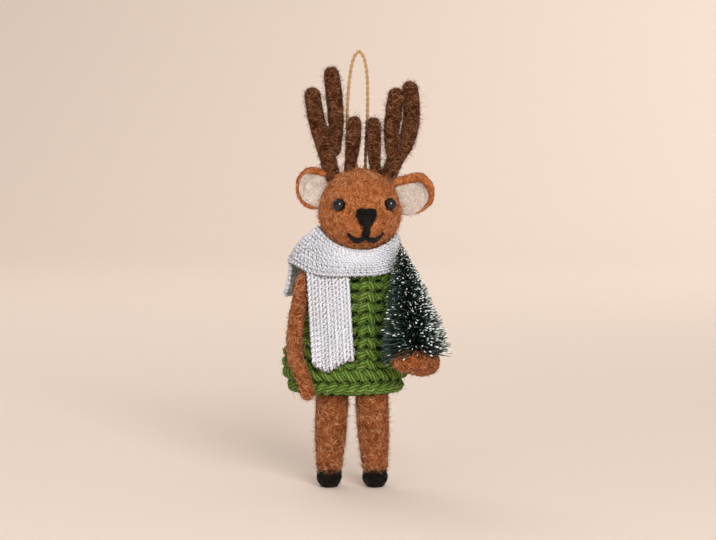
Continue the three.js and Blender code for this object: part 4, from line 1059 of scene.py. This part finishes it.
# %% Sweater yarn
turn = 2 * np.pi * np.arange(PLAIN_STEPS) / PLAIN_STEPS
lean = PLAIN_WIDE * (turn / (2 * np.pi) + 0.25 * np.sin(2 * turn) - 0.5)
front = 0.5 - 0.5 * np.cos(2 * turn)
bar = (np.arange(GUTTER_STEPS) + 0.5) / GUTTER_STEPS
dip = np.sin(np.pi * bar) ** 0.5
along = np.concatenate([lean, PLAIN_WIDE / 2 + GUTTER_WIDE * bar])
rise = np.concatenate([LOOP_RISE * np.cos(turn), LOOP_RISE * (1 - dip)])
out = np.concatenate([YARN_BACK + PLAIN_OUT * front, YARN_BACK + GUTTER_OUT * dip])
thick = np.concatenate([SUNK_THIN + 0.3 * front, SUNK_THIN + 0.2 * dip])
along = (along + (PLAIN_WIDE + GUTTER_WIDE) * np.arange(RIBS)[:, None]).ravel()
rise, out, thick = (np.tile(line, RIBS) for line in (rise, out, thick))
knots = np.linspace(0, len(along), 2 * RIBS + 1)
random = np.random.default_rng(31)
sweater_lines, sweater_thick, sweater_painted_shade = [], [], []
for course in range(COURSES):
    wander = random.normal(0, 1, (3, 2 * RIBS))
    wander = np.concatenate([wander, wander[:, :1]], 1)
    jog = [np.interp(np.arange(len(along)), knots, row) for row in wander]
    climb = FIRST_COURSE + COURSE_RISE * course + rise + JOG_UP * jog[0]
    share = round_share(climb, along + JOG_ALONG * jog[1])
    sweater_lines.append(on_sweater(climb, share, out + JOG_OUT * jog[2]))
    sweater_thick.append(YARN_RADIUS * thick * (1 + 0.08 * random.standard_normal(len(along))))
    # Painted shade: the yarn's tone darkens it the deeper it sinks towards the cloth.
    sweater_painted_shade.append(np.clip((out - YARN_BACK) / 2, 0, 1))
around = np.arange(len(along)) / len(along)
rope = RIBS * (PLAIN_WIDE + GUTTER_WIDE) * around
for climb, hand in HEM_COURSES:
    for start in (0, np.pi):
        twist = 2 * np.pi * HEM_TURNS * hand * around + start
        rise, bulge = HEM_TWIST * np.cos(twist), HEM_TWIST * np.sin(twist)
        sweater_lines.append(on_sweater(climb + rise, round_share(climb, rope), HEM_OUT + bulge))
        sweater_thick.append(HEM_RADIUS * (1 + 0.06 * random.standard_normal(len(along))))
        # Painted shade on the hem: each strand darkens where it twists in behind the other.
        sweater_painted_shade.append(np.clip(0.62 + 0.5 * np.sin(twist), 0, 1))
yarn = tube_mesh(
    "sweater_yarn",
    np.array(sweater_lines) * MM,
    np.array(sweater_thick) * MM,
    12,
    closed=True,
    plies=6,
    groove=0.07,
    lay=13 * MM,
    tone=np.array(sweater_painted_shade),
)
yarn.data.materials.append(green_yarn)
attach(yarn, "body")
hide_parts("sweater")
print("sweater yarn faces:", len(yarn.data.polygons))

# %% [markdown]
# The cloth between the stitches is one thin tube behind the yarn. It closes the small gaps
# between the loops, and it is the sheet that the sweater was knitted as. Its near-black green is
# painted shade in those gaps. Loose green fibres lie on the yarn, because brushed wool is never
# smooth.

# %% Sweater cloth


def grid_faces(rows, columns, ring):
    """Faces of a grid of points, row by row, joined into a ring if asked."""
    last = columns if ring else columns - 1
    row, column = np.meshgrid(np.arange(rows - 1), np.arange(last), indexing="ij")
    beside = (column + 1) % columns
    return np.stack(
        [
            row * columns + column,
            row * columns + beside,
            (row + 1) * columns + beside,
            (row + 1) * columns + column,
        ],
        -1,
    ).reshape(-1, 4)


def thicken(piece, thickness):
    """Give a sheet its thickness, towards its back."""
    bpy.ops.object.select_all(action="DESELECT")
    piece.select_set(True)
    bpy.context.view_layer.objects.active = piece
    wall = piece.modifiers.new("wall", "SOLIDIFY")
    wall.thickness = thickness * MM
    wall.offset = -1
    bpy.ops.object.modifier_apply(modifier=wall.name)


cloth_climb = np.linspace(0.4, climbs[-1] + 1, CLOTH_ROWS)
cloth_round = np.arange(CLOTH_COLUMNS) / CLOTH_COLUMNS
climb, share = np.meshgrid(cloth_climb, cloth_round, indexing="ij")
points = on_sweater(climb, share, CLOTH_OUT) * MM
faces = grid_faces(CLOTH_ROWS, CLOTH_COLUMNS, True)
cloth = new_mesh("sweater_cloth", points.reshape(-1, 3), [faces])
thicken(cloth, CLOTH_THICK)
# The cloth's near-black green is painted shade between the stitches.
cloth.data.materials.append(sweater_painted_shade_back)
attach(cloth, "body")
fuzz = fleece(
    "sweater_fuzz", yarn, "body", "green_knit", green_fibre, 7600, 32,
    length=2.8, halo=0.6, thick=0.11, tall=1.1,
)
print("sweater cloth faces:", len(cloth.data.polygons))

# %% [markdown]
# ## Scarf outline
# The scarf is one white knitted strip. Its wrap leans from the shoulders in under the chin, its
# front tail hangs over the sweater, and a short flap hangs behind the right shoulder. Each part
# has a helper that gives a point for a share across the strip, a share along it and a distance
# outside. The wrap swells a little over the front tail, which comes out from under it.

# %% Wrap outline
SHOULDER_SPREAD, TAIL_BEARING, TAIL_SPREAD = 42, 237, 34
LOW_EDGE, LOW_DIP = 101.6, 4.6
LOW_OUT, SHOULDER_OUT, TAIL_OUT = 2.7, 12, 4.6
HIGH_EDGE, CHIN_TUCK, SHOULDER_LIFT, CHIN_CLEAR = -31, 33, 10, 1.1
WRAP_SWELL = 1.8


def beside_sweater(height, bearing, standoff):
    """A point off the sweater at a height and a bearing, in millimetres."""
    turn, half = np.radians(bearing), half_width(height)
    across = unit(np.stack([np.cos(turn), np.sin(turn) / DEPTH_SHARE], -1))
    x = BODY_X + body_middle(height) + half * np.cos(turn) + standoff * across[..., 0]
    y = BODY_Y + half * DEPTH_SHARE * np.sin(turn) + standoff * across[..., 1]
    return np.stack([x, y, height + 0 * turn], -1)


bearings = np.linspace(0, 360, 361)
frontness = 0.5 - 0.5 * np.sin(np.radians(bearings))
over_shoulder = np.exp(-(((np.mod(bearings + 368, 360) - 180) / SHOULDER_SPREAD) ** 2))
over_tail = np.exp(-(((bearings - TAIL_BEARING) / TAIL_SPREAD) ** 2))
low_height = LOW_EDGE - LOW_DIP * ease(frontness, 0.55, 1)
low_out = LOW_OUT + SHOULDER_OUT * over_shoulder + TAIL_OUT * over_tail
wrap_low = beside_sweater(low_height, bearings, low_out)
high_rise = HIGH_EDGE - CHIN_TUCK * ease(frontness, 0.55, 1) + SHOULDER_LIFT * over_shoulder
wrap_high = []
for bearing, rise in zip(bearings, high_rise):
    reach = max(head_reach(way_from_head(bearing + turn, rise)) for turn in range(-24, 25, 4))
    wrap_high.append(HEAD_MIDDLE + way_from_head(bearing, rise) * (reach + CHIN_CLEAR))
wrap_high = np.array(wrap_high)
outward = np.stack([np.cos(np.radians(bearings)), np.sin(np.radians(bearings)), 0 * bearings], -1)
wrap_up = unit(wrap_high - wrap_low)
wrap_normal = unit(outward - wrap_up * dot(outward, wrap_up))
wrap_line = wrap_low * 0.65 + wrap_high * 0.35
wrap_steps = np.linalg.norm(np.diff(wrap_line, axis=0), axis=1)
WRAP_LENGTH = wrap_steps.sum()
wrap_share = np.concatenate([[0], np.cumsum(wrap_steps)]) / WRAP_LENGTH


def follow(share, table):
    """A table of points looked up at a share of the way along the wrap."""
    share = np.mod(share, 1)
    return np.stack([np.interp(share, wrap_share, table[:, axis]) for axis in range(3)], -1)


def on_wrap(across, share, out):
    """A point on the wrap, in millimetres."""
    across, share, out = np.broadcast_arrays(across, share, out)
    swell = WRAP_SWELL * np.sin(np.pi * np.clip(across, 0, 1)) + out
    level = follow(share, wrap_low) * (1 - across)[..., None]
    level = level + follow(share, wrap_high) * across[..., None]
    return level + follow(share, wrap_normal) * swell[..., None]


print("wrap runs", round(WRAP_LENGTH, 1), "mm round the neck")

# %% Front tail outline
TAIL_X, TAIL_TOP, TAIL_WIDE, TAIL_LONG = -16.0, 96.7, 18.6, 39
TAIL_STANDOFF, TAIL_DRIFT, TAIL_BACK, TAIL_SPAN = 1.5, 2.2, 1.4, 4
WAVE_TALL, WAVE_START, WAVE_WIDE = 2, 0.12, 0.46
CORNER_START, CORNER_RISE = 0.75, 9


def tail_depth(height):
    """How far before the body's middle the tail lies at a height."""
    return DEPTH_SHARE * half_width(height) + TAIL_STANDOFF


def on_tail(across, share, out):
    """A point on the front tail, in millimetres. Its end hangs in two waves."""
    across, share, out = np.broadcast_arrays(across, share, out)
    wave = WAVE_TALL * np.sin(np.pi * (across - WAVE_START) / WAVE_WIDE)
    wave = wave - CORNER_RISE * np.maximum(across - CORNER_START, 0)
    height = TAIL_TOP - (TAIL_LONG + wave) * share
    below, above = tail_depth(height - TAIL_SPAN), tail_depth(height + TAIL_SPAN)
    lie = np.maximum(tail_depth(height), np.maximum(below, above))
    x = TAIL_X + (across - 0.5) * TAIL_WIDE + TAIL_DRIFT * share
    return np.stack([x, BODY_Y - lie + TAIL_BACK * (1 - across) ** 2 - out, height], -1)


print("front tail hangs", TAIL_LONG, "mm")

# %% Back tail outline
FLAP_ROOT = np.array([-29.394, 21.276, 99.74])
FLAP_BEARING = 157
flap_turn = math.radians(FLAP_BEARING)
FLAP_OUT = unit(np.array([math.cos(flap_turn), math.sin(flap_turn) / DEPTH_SHARE, 0]))
FLAP_ALONG = np.array([-FLAP_OUT[1], FLAP_OUT[0], 0])
FLAP_WIDE, FLAP_LONG, FLAP_TUCK = 16, 14, 1.2
FLAP_STANDOFF, FLAP_FLARE = 1.5, 3.0


def on_flap(across, share, out):
    """A point on the back tail, in millimetres. It flares away from the sweater."""
    across, share, out = np.broadcast_arrays(across, share, out)
    height = FLAP_ROOT[2] + FLAP_TUCK - FLAP_LONG * share
    beside = beside_sweater(height, FLAP_BEARING + 0 * height, FLAP_STANDOFF)
    clear = (beside - FLAP_ROOT) @ FLAP_OUT
    aside = ((across - 0.5) * FLAP_WIDE)[..., None] * FLAP_ALONG
    flare = FLAP_FLARE * np.clip(share, 0, 1) ** 2
    point = FLAP_ROOT + aside + (np.maximum(clear, 0) + flare + out)[..., None] * FLAP_OUT
    point[..., 2] = height
    return point


print("back tail hangs", FLAP_LONG, "mm")

# %% [markdown]
# ## Scarf knitting
# The scarf is fine plain knitting, six stitches wide, whose columns of small Vs run along the
# strip. Every course crosses the strip as one looped yarn over a thin backing cloth. Sunk yarn is
# painted darker as shade, and behind wrap and front tail the backing is painted grey as the shade
# in the holes between the stitches. A flat cloth with a pattern would be quicker, but its edges and
# its folds would show no stitches.

# %% Knitting helper
WALES = 6
ROW_PITCH = 2.37
FINE_YARN = 0.82
LOOP_STEPS, LOOP_PINCH, LOOP_TALL, LOOP_DEEP = 14, 0.19, 0.88, 0.55
BACKING_THICK = 0.5


def loop_line(stitches, samples, pinch):
    """One course laid flat: way along in stitches, height and depth of the yarn."""
    count = np.arange(stitches * samples + 1) / samples
    stitch = np.minimum(np.floor(count).astype(int), stitches - 1)
    turn = 2 * np.pi * (count - stitch)
    along = stitch + (turn / (2 * np.pi) + pinch * np.sin(2 * turn))
    return along, -np.cos(turn), -np.cos(2 * turn)


def knit_patch(name, surface, courses, begin=0.0, shadow=1.0):
    """Plain knitting over a surface: a looped yarn for each course, finer where the strip narrows.

    begin is where the first course lies, and shadow how far the sunk yarn is painted darker, as painted
    shade.
    """
    along, high, deep = loop_line(WALES, LOOP_STEPS, LOOP_PINCH)
    lines, fat = [], []
    for course in range(courses):
        share = begin + (1 - begin) * (course + 0.5 + LOOP_TALL * high) / courses
        lines.append(surface(along / WALES, share, LOOP_DEEP * deep) * MM)
        wide = np.linalg.norm(lines[-1][0] - lines[-1][-1])
        fat.append([FINE_YARN * MM * min(1, 0.25 + 0.75 * wide / (TAIL_WIDE * MM))])
    # Painted shade: the tone darkens the yarn where it sinks.
    tone = 1 - shadow * (0.5 - 0.5 * deep)
    stitches = tube_mesh(name, lines, fat, 8, plies=2, groove=0.1, lay=2.6 * MM, tone=tone)
    stitches.data.materials.append(white_yarn)
    return stitches


def backing(name, points, ring, finish):
    """The thin cloth behind the stitches, from a grid of points."""
    rows, columns = points.shape[:2]
    cloth = new_mesh(name, points.reshape(-1, 3) * MM, [grid_faces(rows, columns, ring)])
    thicken(cloth, BACKING_THICK)
    cloth.data.materials.append(finish)
    return cloth


print("knitting helper ready")

# %% Scarf wrap
wrap_yarn = knit_patch("scarf_wrap_yarn", on_wrap, round(WRAP_LENGTH / ROW_PITCH))
across, share = np.meshgrid(np.linspace(0.02, 0.98, 10), np.arange(130) / 130, indexing="ij")
# The wrap's grey backing is painted shade in the holes between the stitches.
wrap_cloth = backing("scarf_wrap_cloth", on_wrap(across, share, -0.1), True, scarf_painted_shade_back)
for piece in (wrap_yarn, wrap_cloth):
    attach(piece, "body")
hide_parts("scarf_wrap")
wrap_fuzz = fleece("scarf_wrap_fuzz", wrap_yarn, "body", "white_knit", clean_fibre, 900, 41, length=3)
print("scarf wrap faces:", len(wrap_yarn.data.polygons))

# %% [markdown]
# The tails hang from under the wrap. Each is knitted on its own helper.

# %% Scarf front tail
tail_yarn = knit_patch("scarf_front_tail_yarn", on_tail, 18, begin=-0.07)
share, across = np.meshgrid(np.linspace(0.985, -0.06, 24), np.linspace(0.02, 0.98, 12), indexing="ij")
# The front tail's grey backing is painted shade in the holes between the stitches.
tail_cloth = backing("scarf_front_tail_cloth", on_tail(across, share, -0.1), False, scarf_painted_shade_back)
tail_fuzz = fleece("scarf_front_tail_fuzz", tail_yarn, None, "white_knit", clean_fibre, 420, 42, length=3)
for piece in (tail_yarn, tail_cloth, tail_fuzz):
    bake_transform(piece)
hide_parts("scarf_front_tail")
print("front tail faces:", len(tail_yarn.data.polygons))

# %% Scarf back tail
# The flap keeps a little painted shade on its sunk yarn, and its cloth the yarn's own white.
flap_yarn = knit_patch("scarf_back_tail_yarn", on_flap, 7, begin=-0.1, shadow=0.2)
share, across = np.meshgrid(np.linspace(0.97, -0.08, 9), np.linspace(0.02, 0.98, 10), indexing="ij")
flap_cloth = backing("scarf_back_tail_cloth", on_flap(across, share, -0.1), False, white_face)
flap_fuzz = fleece("scarf_back_tail_fuzz", flap_yarn, None, "white_knit", clean_fibre, 150, 43, length=3)
for piece in (flap_yarn, flap_cloth, flap_fuzz):
    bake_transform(piece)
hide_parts("scarf_back_tail")
print("back tail faces:", len(flap_yarn.data.polygons))

# %% [markdown]
# ## Wire
# The armature, the antler pins and the tree's stem are bright steel wire. Armature and pins keep
# their measured solids and only get a finish. The stem is two wires twisted together, which is
# what holds the bristles of a bottle brush.

# %% Wire finish and stem
steel, graph, shader = start_material("steel_wire")
shader.inputs["Metallic"].default_value = 1
place = add_node(graph, "ShaderNodeTexCoord")
drawn = add_node(graph, "ShaderNodeTexNoise", Scale=1500, Detail=3)
graph.links.new(place.outputs["Object"], drawn.inputs["Vector"])
bright = [(0.3, screen(128, 128, 130)), (0.7, screen(178, 178, 180))]
graph.links.new(add_ramp(graph, drawn.outputs["Fac"], bright), shader.inputs["Base Color"])
shader.inputs["Roughness"].default_value = 0.35
WIRES = [
    "arm_right_wire", "arm_left_wire", "shoulder_wire", "neck_wire",
    "leg_right_wire", "leg_left_wire", "antler_right_pin", "antler_left_pin",
]
for name in WIRES:
    for slot in nodes[name].material_slots:
        slot.material = steel
TREE_FOOT = np.array([22.633, -15.103, 64.1])
TREE_UP = unit(np.array([-0.13609, 0.15735, 0.97812]))
BRISTLED = 47
STEM_LAY, STEM_RADIUS = 3.4, 0.3
STEM_LOW, STEM_HIGH = -9.9, 48.6
tree_side = unit(np.cross(TREE_UP, np.array([0.0, 1, 0])))
tree_front = np.cross(TREE_UP, tree_side)
rise = np.linspace(STEM_LOW, STEM_HIGH, 240)[:, None]
twist = 2 * np.pi * rise / STEM_LAY
strands = []
for turn in (twist, twist + np.pi):
    off_axis = STEM_RADIUS * (np.cos(turn) * tree_side + np.sin(turn) * tree_front)
    strands.append((TREE_FOOT + TREE_UP * rise + off_axis) * MM)
stem = tube_mesh("tree_stem_wire", strands, STEM_RADIUS * MM, 8)
stem.data.materials.append(steel)
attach(stem, "left_arm")
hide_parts("tree_stem")
print("stem faces:", len(stem.data.polygons))

# %% [markdown]
# ## Bottle-brush tree
# Each bristle leaves the stem at its own turn, a golden angle on from the last, rises a little
# and sags at its tip. The cone's outline gives its length. Along its length each bristle is painted
# darker towards the stem, as shade inside the brush, and lighter towards its tip, as a painted
# sheen. Towards the front and the deer's left, and round the top, many bristles carry snow at the
# tip: white paint on the last millimetre or two, and on some of them a small blob.

# %% Bristle finish
bristle, graph, shader = start_material("snowy_bristle")
shader.inputs["Roughness"].default_value = 0.6
tone = add_node(graph, "ShaderNodeAttribute")
tone.attribute_name = "tone"
# Low tones give painted shade near the stem, middle ones the bristle's green, higher ones a painted sheen
# of grey-green, and the top the snow's white.
needle = [
    (0.0, screen(10, 22, 18)), (0.45, screen(34, 62, 50)),
    (0.7, screen(128, 144, 136)), (0.92, screen(238, 240, 238)),
]
graph.links.new(add_ramp(graph, tone.outputs["Fac"], needle), shader.inputs["Base Color"])
print("finish:", bristle.name)

# %% Bristles
BRISTLES = 2900
GOLDEN_ANGLE = math.radians(137.508)
LONGEST, SHORTEST = 15, 1.2
LOWEST_LIFT = -14
SNOW_SIDE = unit(np.array([0.8, -0.6, 0]))
random = np.random.default_rng(51)
share = (np.arange(BRISTLES) + random.random(BRISTLES)) / BRISTLES
share = 1 - (1 - share) ** 0.62
turn = np.arange(BRISTLES) * GOLDEN_ANGLE + random.normal(0, 0.2, BRISTLES)
lift = random.normal(9, 10, BRISTLES) - 14 * np.exp(-share / 0.05)
lift = np.radians(np.maximum(lift, LOWEST_LIFT))
reach = (LONGEST * (1 - share) ** 0.8 + SHORTEST) * random.uniform(0.86, 1.06, BRISTLES)
level = np.cos(turn)[:, None] * tree_side + np.sin(turn)[:, None] * tree_front
way = level * np.cos(lift)[:, None] + TREE_UP * np.sin(lift)[:, None]
foot = TREE_FOOT + TREE_UP * (share * BRISTLED)[:, None]
spans = np.array([0.02, 0.3, 0.6, 0.84, 0.93, 1.0])
sag = -1.2 * spans**2 * (reach / 16)[:, None]
lines = foot[:, None] + way[:, None] * (reach[:, None] * spans)[..., None] + TREE_UP * sag[..., None]
facing = 0.5 + 0.5 * (level @ SNOW_SIDE)
snowy = random.random(BRISTLES) < 0.07 + 0.5 * facing**3 + 1.1 * np.exp((share - 1) / 0.12)
blob = snowy & (random.random(BRISTLES) < 0.12 + 0.42 * facing)
radius = np.tile(np.array([0.16, 0.16, 0.16, 0.15, 0.14, 0.1]), (BRISTLES, 1))
radius[blob, 4] = random.uniform(0.22, 0.38, blob.sum())
radius[blob, 5] = radius[blob, 4] * 0.6
# Painted shade and sheen: each bristle darkens towards the stem and lightens towards its tip.
shade = random.uniform(0.05, 0.62, (BRISTLES, 1)) * np.array([0.1, 0.2, 0.5, 0.9, 1, 1])
shade[snowy, 4:] = random.uniform(0.7, 1, (snowy.sum(), 1))
shade[blob, 4:] = 1
brush = tube_mesh("tree_bristles", lines * MM, radius * MM, 4, tone=shade)
brush.data.materials.append(bristle)
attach(brush, "left_arm")
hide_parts(*[f"tree_bristles_{number}" for number in (1, 2, 3, 4)])
print("bristles:", BRISTLES, "of which snowy:", int(snowy.sum()))

# %% [markdown]
# ## Sizes and finish
# The box of the dressed model is printed, in millimetres.

# %% Finish
low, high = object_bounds()
print("dressed box, mm:", [round(float(h - l) / MM, 1) for l, h in zip(low, high)])
